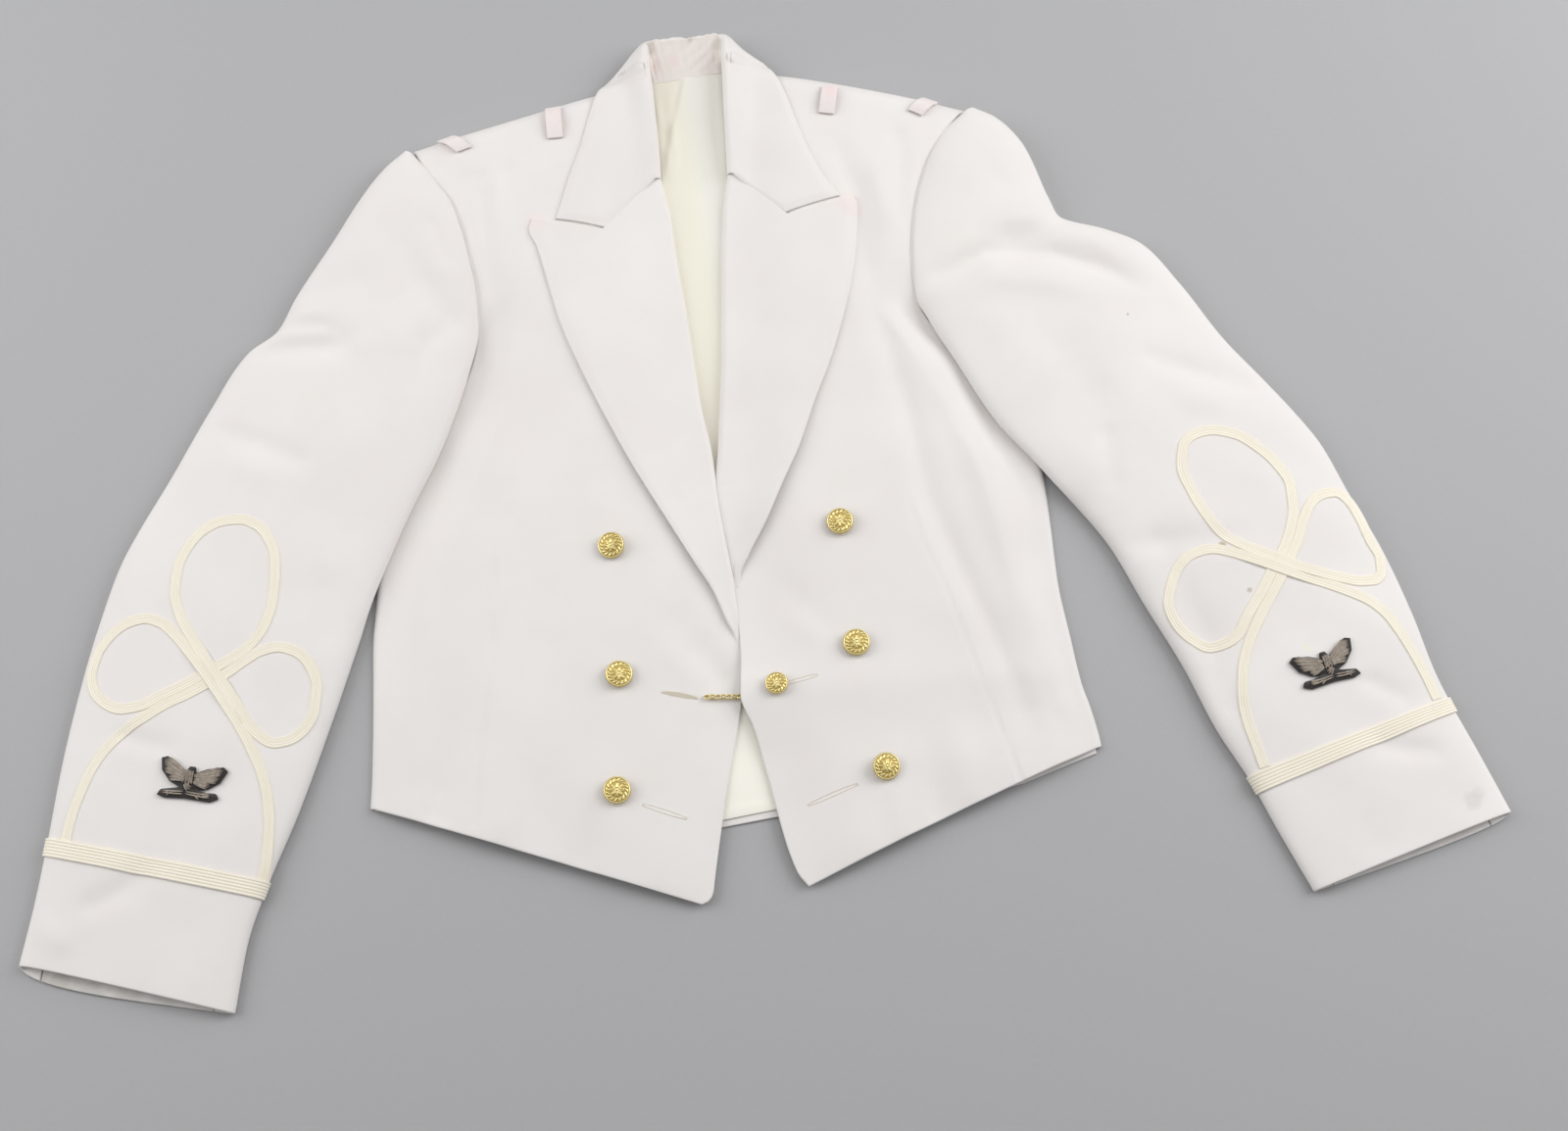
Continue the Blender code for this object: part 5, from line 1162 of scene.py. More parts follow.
def sleeve(side, table, folds, creases, seed):
    """Both halves of a sleeve, and the top one's upper side."""
    at = np.linspace(0, down(table), SLEEVE_ROWS)
    half_as_many = np.linspace(0, at[-1], SLEEVE_ROWS // 2)
    top, upper = shell("sleeve_top_" + side, top_sleeve_grid(table, folds, creases, at, seed),
                       FACE_WALL, twill, ["top_sleeve_" + side])
    under, _ = shell("sleeve_under_" + side, under_sleeve_grid(table, half_as_many),
                     FACE_WALL, shaded_twill, ["under_sleeve_" + side])
    return upper


# A tape of the same twill under each armhole seam, which closes it to the light
TAPE_HALF = 4
TAPE_WALL = 0.8
ARMHOLE_RIGHT = ((-268.5, 256), (-260.8, 245.4), (-242.4, 220), (-228.2, 178),
                 (-220.6, 141), (-220.1, 122))
ARMHOLE_LEFT = ((134.5, 291), (126.1, 279.6), (112, 249), (103.5, 209), (101.7, 179), (103.6, 154))
ARMHOLE_LEVEL = (11.2, 13.0, 13.8, 13.2, 10.2, 5.6)


def to_left(way):
    """Plan directions turned a quarter to the left."""
    return np.stack([-way[..., 1], way[..., 0]], -1)


def strip(line, aside):
    """Plan points at distances to the left of a line."""
    left = to_left(unit(np.gradient(line[:, :2], axis=0)))
    return line[:, None, :2] + left[:, None] * aside[None, :, None]


def armhole_tape(points, level, rows=160):
    """A flat strip along the armhole, as wide to each side of its line."""
    line = drawn([(x, y, z) for (x, y), z in zip(points, level)], rows)
    plan = strip(line, np.linspace(-TAPE_HALF, TAPE_HALF, 7))
    return np.concatenate([plan, np.broadcast_to(line[:, None, 2:], plan.shape[:2] + (1,))], -1)


for side, points in (("right", ARMHOLE_RIGHT), ("left", ARMHOLE_LEFT)):
    tape, _ = shell("armhole_tape_" + side, armhole_tape(points, ARMHOLE_LEVEL), TAPE_WALL, twill)
    "front_panel_" + side

SLEEVES = (("right", SLEEVE_RIGHT, FOLDS_RIGHT, SLEEVE_CREASES_RIGHT, 31),
           ("left", SLEEVE_LEFT, FOLDS_LEFT, SLEEVE_CREASES_LEFT, 32))
sleeve_tops = {made[0]: sleeve(*made) for made in SLEEVES}


# The band round each cuff: half-inch ribbed braid of cream thread, sewn on along
# both edges, three inches above the mouth.
BRAID_WALL = 1.3
GAP = 0.35
BAND_SLACK = -0.3
BAND_UP = 82.5
BAND_WIDE = 12.7
BAND_RIBS = 6
RIB_HIGH = 0.4
CORD_PITCH = 0.0016
BRAID_COLOUR = (0.905, 0.87, 0.775)


def braid_thread(name, colour, ribs):
    """Flat braid: slanting threads that meet in a herringbone on each rib, shadowed between."""
    made, place, cloth_map, shader = finish(name, Roughness=0.6, Sheen_Weight=0.2, IOR=1.4)
    u, v = cloth_map.parts()
    long, cross = (u, v) if ribs else (v, u)
    pitch = BAND_WIDE / BAND_RIBS * MM if ribs else CORD_PITCH
    side = (cross / pitch).math("PINGPONG", 0.5)
    thread = (long * 1.0 + side * (pitch * 0.9)).wave(0.0009)
    fibre = place.noise(2600, 2.0, 0.6)
    tone = place.noise(60, 3.0)
    tint = (tone * 0.7 + fibre * 0.3).mix(shade(colour, 0.95, 0.93, 0.90),
                                          shade(colour, 1.03, 1.03, 1.06))
    tint = ((1 - thread) * 0.12).mix(tint, shade(colour, 0.84, 0.80, 0.70))
    tint = ((1 - side * 2) ** 2.0 * 0.7).mix(tint, shade(colour, 0.80, 0.73, 0.56))
    feed(shader, Base_Color=tint, Roughness=0.5 + fibre * 0.2,
         Normal=(thread * 0.6 + fibre * 0.4).raised(0.0001, 0.7))
    return made


def band_ribs(across, along):
    """Rounded ribs along the band, as the size of a sine of the distance over it."""
    return RIB_HIGH * np.abs(np.sin(along / BAND_WIDE * BAND_RIBS * math.pi)) ** 0.8


band_braid = braid_thread("band_braid", BRAID_COLOUR, True)
for side, table, folds, creases, seed in SLEEVES:
    at = down(table) - BAND_UP + np.linspace(-0.5, 0.5, 56) * BAND_WIDE
    grid = top_sleeve_grid(table, folds, creases, at, seed)[:, 4:-4]
    middle = grid + normals(grid) * (FACE_WALL / 2 + GAP + BAND_SLACK + BRAID_WALL / 2)
    band, _ = shell("cuff_band_" + side, middle, BRAID_WALL, band_braid,
                    ["cuff_braid_" + side], band_ribs)
    "sleeve_top_" + side


# The knots: one length of flat soutache each, four fine cords side by side, laid in
# three loops from the cuff band and back to it, and sewn down.
BRAID_WIDE = 7.7
KNOT_WALL = 0.55
CORDS = 4
CORD_HIGH = 0.5
STRAND_GAP = -0.1
CROSSING_GAP = 0.15
# How many of a sleeve's lines are tucked under at each fold
TUCKED_LINES = 8
# Points along each knot, with 1 where the braid crosses over itself
KNOT_RIGHT = (
    (-484, -263.5, 0), (-481, -244, 0), (-476, -226, 0), (-469, -208, 0), (-459, -193, 0),
    (-447, -181, 0), (-435, -173, 0), (-423, -165, 0), (-409, -158, 0), (-395, -150, 0),
    (-382, -143, 0), (-370, -134, 0), (-359, -127, 0), (-347, -124, 0), (-335, -127, 0),
    (-325, -136, 0), (-319, -152, 0), (-320, -169, 0), (-326, -182, 0), (-336, -190, 0),
    (-346, -192, 0), (-356, -187, 0), (-366, -176, 0), (-374, -164, 0.5), (-383, -151, 1),
    (-392, -140, 1), (-401, -127, 0.5), (-410, -114, 0), (-418, -100, 0), (-423, -82, 0),
    (-422, -66, 0), (-416, -50, 0), (-405, -37, 0), (-392, -31, 0), (-381, -30, 0),
    (-369, -34, 0), (-360, -43, 0), (-354, -58, 0), (-353, -73, 0), (-353.4, -88, 0),
    (-356.4, -103.6, 0), (-363.8, -118.6, 0), (-375, -129.4, 0), (-388, -137.4, 0), (-401, -145, 0),
    (-413, -152, 0), (-427, -159, 0), (-440, -166, 0), (-454, -168, 0), (-466, -163, 0),
    (-474, -154, 0), (-477, -142, 0), (-474, -128, 0), (-465, -114, 0), (-454, -106, 0),
    (-442, -103, 0), (-431, -106, 0), (-420, -115, 0), (-409.4, -126.8, 0.5), (-399, -139.6, 1),
    (-388.8, -153.4, 1), (-378.8, -167.4, 0.5), (-369.2, -181.6, 0), (-360.8, -196.2, 0),
    (-352.2, -214.6, 0),
    (-347.2, -234, 0), (-345.4, -254, 0), (-345.8, -270, 0), (-347.4, -287.5, 0),
)
KNOT_LEFT = (
    (337, -208.5, 0), (332, -192, 0), (327, -175, 0), (325, -158, 0), (326, -140, 0),
    (330.6, -122.4, 0), (338, -105.4, 0), (347, -89.4, 0), (356, -73.4, 0), (364.4, -57.6, 0),
    (371, -44, 0), (376, -29, 0), (382, -17, 0), (391, -10, 0), (401, -8, 0), (409, -13, 0),
    (417, -27, 0), (423, -44, 0), (429, -58, 0), (429, -67, 0), (423, -74, 0),
    (412, -75, 0), (401, -73, 0), (388, -70, 0.5), (374, -66, 1), (359, -60.4, 1),
    (344.4, -54.2, 0.5), (330.6, -48.4, 0), (318, -40.6, 0), (308, -28, 0), (298, -10, 0),
    (291, 11, 0), (293, 26, 0), (302, 35, 0), (315, 38, 0), (331, 35, 0), (347, 25, 0),
    (360, 12, 0), (368, -3, 0), (369, -20, 0), (366, -36, 0), (359, -53, 0), (350, -69, 0),
    (341, -85, 0), (331, -101, 0), (325, -113, 0), (316, -120, 0), (304, -123, 0),
    (292, -117, 0), (282, -106, 0), (277, -91, 0), (280, -76, 0), (287, -62, 0),
    (298, -54, 0), (310, -51.6, 0), (322, -54, 0), (333, -57.6, 0.5), (346, -62.2, 1),
    (361, -67.8, 1), (376, -73, 0.5), (390, -77.6, 0), (404, -83, 0), (417, -89, 0),
    (429, -99, 0), (438, -112, 0), (447, -128, 0), (454, -143, 0), (460.5, -160, 0),
)


def cords(across, along):
    """Four fine cords side by side, the outer two the higher."""
    cord = np.abs(np.cos(across / BRAID_WIDE * CORDS * math.pi + math.pi / 2)) ** 0.7
    return CORD_HIGH * (cord - 0.5) * (0.8 + 0.4 * smooth((np.abs(across) - 1.2) / 0.8))


def knot_grid(table, ground, rows=780, columns=15):
    """The braid's strip: a smooth path, its width to both sides, on the sleeve."""
    path = drawn(table, rows)
    plan = strip(path, np.linspace(-0.5, 0.5, columns) * BRAID_WIDE)
    out = STRAND_GAP + KNOT_WALL / 2 + (KNOT_WALL + CROSSING_GAP) * smooth(path[:, 2])
    return ground.laid(plan, np.repeat(out[:, None], columns, axis=1), 0.8, 2.5)


arm = {side: Ground(top[:, TUCKED_LINES:-TUCKED_LINES]) for side, top in sleeve_tops.items()}
soutache = braid_thread("soutache", BRAID_COLOUR, False)
for side, table in (("right", KNOT_RIGHT), ("left", KNOT_LEFT)):
    shell("knot_" + side, knot_grid(table, arm[side]), KNOT_WALL, soutache,
          ["knot_braid_" + side], cords)


# The badges: a spread-winged bird over a plain branch, worked in short lengths of
# bullion, a tightly coiled wire thread, on black felt cut a little wider.
FELT_WALL = 1.6
FELT_TAPER = 0.97
OUTLINE_POINTS = 240
BADGE_OUTLINE = ((-30, 15.5), (-25, 18), (-13, 13), (-5, 8), (-3, 13), (2, 13.5), (4, 8.5),
                 (13, 14), (26, 18.5), (30.5, 15.5), (26.5, 4), (17, -4), (9, -6), (18, -7),
                 (26, -6), (29, -10), (22, -14.5), (0, -15.5), (-18, -18.5), (-25, -17),
                 (-23, -12), (-10, -8), (-7.5, -6.5), (-17, -3.5), (-26.5, 5))
BADGE_SCALE = 0.78
BADGE_GAP = 0.75
BADGES = (("badge_right", -401.3, -219.3, -12), ("badge_left", 384.5, -137.5, 22))
BULLION_R = 0.6
BULLION_STEPS = 9
FEATHER_ROOT = 0.9
# Each feather, stem and leaf: where its threads start and end about the badge's
# middle, its thread count and how far the threads fan apart at the far end
FEATHERS = (
    ((-4, 5), (-26, 14.5), 7, 4.2), ((-4, 2), (-24, 7.5), 7, 4.2), ((-4, 0), (-18.5, 0.5), 6, 4.0),
    ((3, 5), (26.5, 15), 7, 4.2), ((4, 2), (24.5, 7.5), 7, 4.2), ((4, 0), (18.5, 0), 6, 4.0),
    ((-2.5, 9.5), (-1, -4), 4, 4.0), ((0.5, 9.5), (0.5, -4), 3, 3.0), ((-3, -3), (3, -7), 3, 2.4),
    ((-20, -13.5), (0, -10.5), 2, 1.2), ((0, -10.5), (24, -9.5), 2, 1.2),
    ((-12, -12), (-17, -15.5), 2, 1.4), ((8, -9.5), (14, -12.8), 2, 1.4),
    ((14, -9.5), (22, -8), 2, 1.2),
)


def side_of(name):
    """The side that a piece is on: right if its name says so, and else left."""
    return "right" if "right" in name else "left"


def disc(count):
    """The corners of the triangles that close a ring of points, all from its first point."""
    return np.array([[0, k, k + 1] for k in range(1, count - 1)])


def threads(name, paths, radius, made_of, sides=7):
    """Round threads along many paths at once, narrowed at both ends, with closed caps."""
    paths = np.asarray(paths, float)
    count, steps = paths.shape[:2]
    along = unit(np.gradient(paths, axis=1))
    side = unit(np.cross(along, np.array([0.0, 0.0, 1.0])))
    lift = np.cross(side, along)
    narrow = np.ones(steps)
    narrow[0], narrow[-1], narrow[1], narrow[-2] = 0.35, 0.35, 0.85, 0.85
    turn = np.arange(sides) * 2 * math.pi / sides
    ring = (side[:, :, None] * np.cos(turn)[None, None, :, None]
            + lift[:, :, None] * np.sin(turn)[None, None, :, None])
    points = paths[:, :, None] + ring * (radius * narrow)[None, :, None, None]
    tube = quads(steps, sides, wrap=True)
    cap = disc(sides)
    first = (np.arange(count) * steps * sides)[:, None, None]
    faces = (first + tube[None, :, ::-1]).reshape(-1, 4)
    caps = np.concatenate([(first + cap[None]).reshape(-1, 3),
                           (first + cap[None, :, ::-1] + (steps - 1) * sides).reshape(-1, 3)])
    far = np.stack([lengths(path) for path in paths[:, :, :2]])
    cloth_map = np.stack(np.broadcast_arrays(turn[None, None] * radius, far[..., None]), -1)
    return add_mesh(name, points.reshape(-1, 3), [faces, caps], cloth_map.reshape(-1, 2) * MM,
                    made_of)


def turned_plan(points, x, y, turn, mirror):
    """Plan points about a badge's middle, mirrored, scaled, turned and put in place."""
    c, s = math.cos(math.radians(turn)), math.sin(math.radians(turn))
    points = np.asarray(points, float) * np.array([mirror, 1]) * BADGE_SCALE
    return points @ np.array([[c, s], [-s, c]]) + np.array([x, y])


def black_felt(name):
    """Felt: matted dark fibres that catch a little light."""
    made, place, _, shader = finish(name, Roughness=0.95, Sheen_Weight=0.3, Sheen_Roughness=0.6)
    fibre = place.noise(1800, 4.0, 0.7)
    tint = fibre.ramp(0.3, 0.8).mix((0.006, 0.005, 0.004, 1), (0.035, 0.028, 0.024, 1))
    feed(shader, Base_Color=tint, Normal=fibre.raised(0.0005, 0.9))
    return made


def bullion(name):
    """Coiled wire thread: bright turns across the thread, tarnished to grey-brown."""
    made, place, cloth_map, shader = finish(name, Metallic=0.55, Roughness=0.42)
    u, v = cloth_map.parts()
    coil = (v + u * 0.3).wave(0.00045)
    tarnish = place.noise(420, 3.0, 0.6).ramp(0.3, 0.75)
    tint = tarnish.mix((0.40, 0.34, 0.28, 1), (0.62, 0.55, 0.48, 1))
    tint = ((1 - coil) * 0.6).mix(tint, (0.12, 0.095, 0.075, 1))
    feed(shader, Base_Color=tint, Roughness=0.35 + tarnish * 0.25, Normal=coil.raised(0.0002, 0.7))
    return made


felt, wire_thread = black_felt("black_felt"), bullion("bullion_thread")
for name, x, y, turn in BADGES:
    ground = arm[side_of(name)]
    mirror = 1 if side_of(name) == "right" else -1
    outline = resample(BADGE_OUTLINE + BADGE_OUTLINE[:1], OUTLINE_POINTS + 1)[:-1]
    inner = turned_plan(outline * FELT_TAPER, x, y, turn, mirror)
    outline = turned_plan(outline, x, y, turn, mirror)
    levels = ((outline, 0.0), (outline, FELT_WALL * 0.7), (inner, FELT_WALL))
    rings = [ground.laid(plan, np.full(len(plan), BADGE_GAP)) + np.array([0, 0, z])
             for plan, z in levels]
    count = len(outline)
    flat = bpy.data.meshes.new(name + "_outline")
    flat.from_pydata([(px, py, 0) for px, py in outline], [], [list(range(count))])
    flat.calc_loop_triangles()
    fill = np.array([tuple(each.vertices) for each in flat.loop_triangles])
    bpy.data.meshes.remove(flat)
    wrap = quads(3, count, wrap=True)
    if mirror < 0:
        wrap, fill = wrap[:, ::-1], fill[:, ::-1]
    add_mesh(name + "_felt", np.concatenate(rings), [wrap, fill[:, ::-1], fill + 2 * count],
             None, felt, [name])
    paths = []
    for start, end, number, fan in FEATHERS:
        start, end = np.array(start, float), np.array(end, float)
        side_way = unit(to_left(end - start))
        for k in np.linspace(-1, 1, number):
            t = np.linspace(0, 1 - 0.12 * abs(k), BULLION_STEPS)[:, None]
            bend = np.sin(math.pi * t) * 0.5
            apart = FEATHER_ROOT + (fan - FEATHER_ROOT) * t
            paths.append(start + (end - start) * t + side_way * k * apart - side_way * bend)
    plan = turned_plan(np.array(paths), x, y, turn, mirror)
    rise = np.sin(math.pi * np.linspace(0.04, 0.96, BULLION_STEPS))[None] * 0.5
    order = (np.arange(len(plan)) % 3)[:, None] * 0.22
    level = ground.heights(plan) + BADGE_GAP + FELT_WALL + 0.15 + rise + order
    threads(name + "_bullion", np.concatenate([plan, level[..., None]], -1), BULLION_R,
            wire_thread)


# The shoulder loops: narrow straps of the same twill, sewn down at both ends, that
# held shoulder boards. The outer pair lie close to the armholes.
LOOP_WALL = 1.4
LOOP_GAP = 0.35
LOOP_RISE = 2.0
# Each loop's two ends, its width and the slant of its ends
LOOPS = (
    ("loop_right_neck", -169, 299, -166, 272, 12.0, 0.0),
    ("loop_right_arm", -250, 275, -234, 262.5, 10.6, 0.6),
    ("loop_left_neck", 41, 316.5, 38, 293, 12.0, 0.0),
    ("loop_left_arm", 117.5, 308, 105, 294, 11.2, -0.38),
)


def loop_grid(top, foot, wide, skew, ground, rows=34, columns=18):
    """A strap: straight from end to end, cut on a slant, and raised between by a sine."""
    t = np.linspace(0, 1, rows)
    line = top * (1 - t[:, None]) + foot * t[:, None]
    way = unit(foot - top)
    aside = (np.linspace(-0.5, 0.5, columns) * wide)[None, :, None]
    plan = line[:, None] + (to_left(way) + way * skew) * aside
    lift = GAP + LOOP_GAP + LOOP_WALL / 2 + LOOP_RISE * np.sin(math.pi * t)[:, None]
    return np.concatenate([plan, (ground.heights(plan, 1.5) + lift)[..., None]], -1)


def strap_edges(across, along):
    """A low ridge inside each long edge, where the strap's turning lies."""
    return 0.12 * np.exp(-((np.abs(across) - 4.2) / 0.8) ** 2)


LOOP_MARKS = ((40.5, 311, 7, (0.84, 0.60, 0.60), 0.4), (-167, 292, 9, (0.85, 0.70, 0.69), 0.25))
blushed_twill = white_twill("blushed_twill", (0.825, 0.765, 0.75), LOOP_MARKS)
for name, top_x, top_y, foot_x, foot_y, wide, skew in LOOPS:
    side = side_of(name)
    grid = loop_grid(np.array([top_x, top_y]), np.array([foot_x, foot_y]), wide, skew, chest[side])
    strap, _ = shell("strap_" + name[5:], grid, LOOP_WALL, blushed_twill, [name],
                     relief=strap_edges)
    "front_panel_" + side


# The buttons: gilt domes on shanks, 30 ligne down the fronts and 25 ligne on the
# chain, each struck with an eight-petalled rosette in a ring of leaves, inside a plain rim.
BUTTON_R = 9.53
LINK_BUTTON_R = 7.9
BUTTON_RISE = 1.7
SHANK_R = 2.0
BUTTON_LIFT = 0.7
PETALS = 8
LEAVES = 16
DOME_FOOT = 3.9
# Where each button's middle is, its radius, and how it tilts about both ways
BUTTONS = (
    ("button_right_1", -116, -49, BUTTON_R, 10, -8),
    ("button_right_2", -109, -143, BUTTON_R, 0, 4),
    ("button_right_3", -108.5, -225, BUTTON_R, 3, 3),
    ("button_left_1", 46, -31, BUTTON_R, 2, -4),
    ("button_left_2", 56.5, -120, BUTTON_R, 3, 2),
    ("button_left_3", 76, -208, BUTTON_R, 8, 8),
    ("link_button", 1, -150, LINK_BUTTON_R, 2, -3),
)


def old_gilt(name):
    """Gilding: warm polished gold, dulled in the hollows of the striking, darker on each button's
    shank, back and rim side, and with painted shade on the inner side of each chain link's wire.
    """
    made, place, cloth_map, shader = finish(name, Metallic=0.72, Roughness=0.3)
    darkened = cloth_map.parts()[0]
    dull = place.noise(700, 3.0, 0.6).ramp(0.35, 0.75)
    scratch = place.stretched(1, 0.2, 1).noise(5000, 2.0)
    tint = dull.mix((1.0, 0.90, 0.46, 1), (1.0, 0.83, 0.35, 1))
    tint = darkened.mix(tint, (0.42, 0.28, 0.06, 1))
    feed(shader, Base_Color=tint, Roughness=0.27 + dull * 0.14 + darkened * 0.2,
         Normal=(scratch * 0.5 + dull * 0.5).raised(0.00006, 0.5))
    return made


def button_points(x, y, radius, tilt_x, tilt_y, ground, rings=48, around=84):
    """A turned profile: shank, back, rim and dome, with the rosette raised on the dome.

    The second result is how far the gilt is darkened at each point, from 0 to 1: in the hollows of
    the striking, and on the shank, the back and the rim's side.
    """
    size = radius / BUTTON_R
    angle = np.arange(around) / around * 2 * math.pi
    rim = radius * 0.97
    share = np.concatenate([np.linspace(1, 0.88, 9), np.linspace(0.86, 0.03, rings - 9)])
    dome = DOME_FOOT + BUTTON_RISE * size * (1 - share**2) * 0.8
    out = share[:, None]
    petals = 0.5 + 0.5 * np.cos(PETALS * angle)[None]
    body = smooth((0.30 + 0.30 * petals - out) / 0.07) * smooth((out - 0.13) / 0.05)
    vein = np.abs(np.sin(PETALS // 2 * angle))[None] ** 0.5
    middle = np.exp(-((out / 0.11) ** 2))
    leaves = smooth((np.cos(LEAVES * angle[None] + 2.2 * np.sin(9 * out)) + 0.3) / 0.6)
    leaves = leaves * smooth((out - 0.60) / 0.04) * smooth((0.87 - out) / 0.04)
    bead = smooth((out - 0.90) / 0.03) * smooth((0.995 - out) / 0.02)
    relief = size * (0.75 * body * (0.3 + 0.7 * vein) + 0.6 * middle + 0.6 * leaves + 0.55 * bead)
    profile = [(0.1, 0.0), (SHANK_R, 0.0), (SHANK_R, 2.2), (radius * 0.5, 2.35),
               (radius * 0.86, 2.4), (radius * 0.985, 2.7), (radius, 3.1), (radius * 0.99, 3.6)]
    r = np.concatenate([[p[0] for p in profile], rim * share])[:, None] + 0 * angle
    z = np.concatenate([np.tile([[p[1]] for p in profile], (1, around)), dome[:, None] + relief])
    struck = np.clip(body * vein + middle + leaves + bead, 0, 1)
    low = np.concatenate([np.full((len(profile), around), 0.8), 1 - struck])
    (cx, sx), (cy, sy) = [(math.cos(math.radians(each)), math.sin(math.radians(each)))
                          for each in (tilt_x, tilt_y)]
    about_x = np.array([[1, 0, 0], [0, cx, -sx], [0, sx, cx]])
    about_y = np.array([[cy, 0, sy], [0, 1, 0], [-sy, 0, cy]])
    points = np.stack([r * np.cos(angle), r * np.sin(angle), z], -1) @ (about_y @ about_x).T
    level = ground.heights(np.array([[x, y]]), SHANK_R + 0.2)[0]
    return points + np.array([x, y, level + BUTTON_LIFT]), low * smooth(r / (radius * 0.1)) * 0.85


gilt = old_gilt("old_gilt")
for name, x, y, radius, tilt_x, tilt_y in BUTTONS:
    points, darkened = button_points(x, y, radius, tilt_x, tilt_y, chest[side_of(name)])
    rings, around = points.shape[:2]
    ends = disc(around)
    faces = [quads(rings, around, wrap=True), ends[:, ::-1], ends + (rings - 1) * around]
    cloth_map = np.stack([darkened.ravel(), 0 * darkened.ravel()], -1)
    add_mesh("gilt_" + name, points.reshape(-1, 3), faces, cloth_map, gilt, [name])


# The buttonholes: a slit at each chain and lower button, its two lips worked with
# close stitches of cream silk that meet in a short bar at each end. Only the slit
# that the chain pulls at stands open.
STITCH_LONG = 0.8
STITCH_PITCH = 0.62
STITCH_R = 0.2
STITCH_STEPS = 4
BAR_HALF = 1.2
SLIT_WALL = 0.14
SLIT_STEPS = 40
# Each buttonhole's two ends, its gape and whether the slit stands open
BUTTONHOLES = (
    ("hole_right_upper", -79, -155, -54.5, -158.8, 1.0, True),
    ("hole_right_lower", -90.5, -234.5, -61, -243.5, 0.9, False),
    ("hole_left_upper", 7, -149.6, 29, -143, 0.9, False),
    ("hole_left_lower", 23, -234, 56, -220, 0.9, False),
)


def hole_plan(start, end, gape, share, away):
    """Points beside the slit: a share of its length along, and a distance out from its lip.

    The gape is half the slit's width at its middle and shrinks to nothing as a sine.
    """
    lip = gape * np.sin(math.pi * np.clip(share, 0, 1)) ** 0.6
    out = (np.sign(away) * lip + away)[..., None]
    return start + (end - start) * share[..., None] + to_left(unit(end - start)) * out


def silk(name, colour):
    """Buttonhole twist: two plies of glossy silk."""
    made, place, cloth_map, shader = finish(name, Roughness=0.5, Sheen_Weight=0.2)
    ply = cloth_map.parts()[1].wave(0.0006)
    tone = ply * 0.5 + place.noise(500, 2.0) * 0.5
    feed(shader, Base_Color=tone.mix(shade(colour, 0.86, 0.84, 0.78), colour + (1,)),
         Normal=ply.raised(0.0001, 0.5))
    return made


cream_silk = silk("cream_silk", (0.93, 0.87, 0.73))
slit_shade = silk("slit_shade", (0.62, 0.56, 0.46))
for name, start_x, start_y, end_x, end_y, gape, open_slit in BUTTONHOLES:
    start, end = np.array([start_x, start_y], float), np.array([end_x, end_y], float)
    ground = chest[side_of(name)]
    count = int(np.linalg.norm(end - start) / STITCH_PITCH)
    share = np.linspace(0.01, 0.99, count)[:, None] + np.linspace(0, 0.006, STITCH_STEPS)[None]
    across = np.linspace(0.1, STITCH_LONG, STITCH_STEPS)[None]
    across = across * (0.9 + 0.2 * np.random.default_rng(count).random((count, 1)))
    lips = [hole_plan(start, end, gape, share, away) for away in (across, -across)]
    out = np.linspace(-BAR_HALF, BAR_HALF, STITCH_STEPS)
    bars = [hole_plan(start, end, gape, np.full(STITCH_STEPS, at), out)
            for at in (-0.012, 0.008, 0.992, 1.012)]
    plan = np.concatenate(lips + [np.stack(bars)])
    rise = np.array([0.1, 0.2, 0.2, 0.1])[None, :, None]
    path = np.concatenate([plan, ground.heights(plan)[..., None] + rise], -1)
    threads(name + "_silk", path, STITCH_R, cream_silk, sides=5)
    if open_slit:
        t = np.linspace(0, 1, SLIT_STEPS)
        inside = np.stack([hole_plan(start, end, gape, t, np.full(SLIT_STEPS, far))
                           for far in (-0.12, -0.04, 0.04, 0.12)], axis=1)
        inside = np.concatenate([inside, ground.heights(inside)[..., None] + 0.1], -1)
        shell(name + "_slit", inside, SLIT_WALL, slit_shade)


# The chain: nine oval links of gilt wire, each leaning the other way from the last,
# from the right buttonhole to the link button on the left edge.
CHAIN_LINKS = 9
LINK_LONG = 5.3
LINK_WIDE = 4.3
LINK_WIRE = 1.25
LINK_STEPS = 40
WIRE_SIDES = 10
BUTTONHOLE = (-49.4, -158.4)
CHAIN_END = (-15.0, -157.4)
CHAIN_LEAN = 36
CHAIN_STEP = 0.25
CHAIN_FLOOR = 3.4


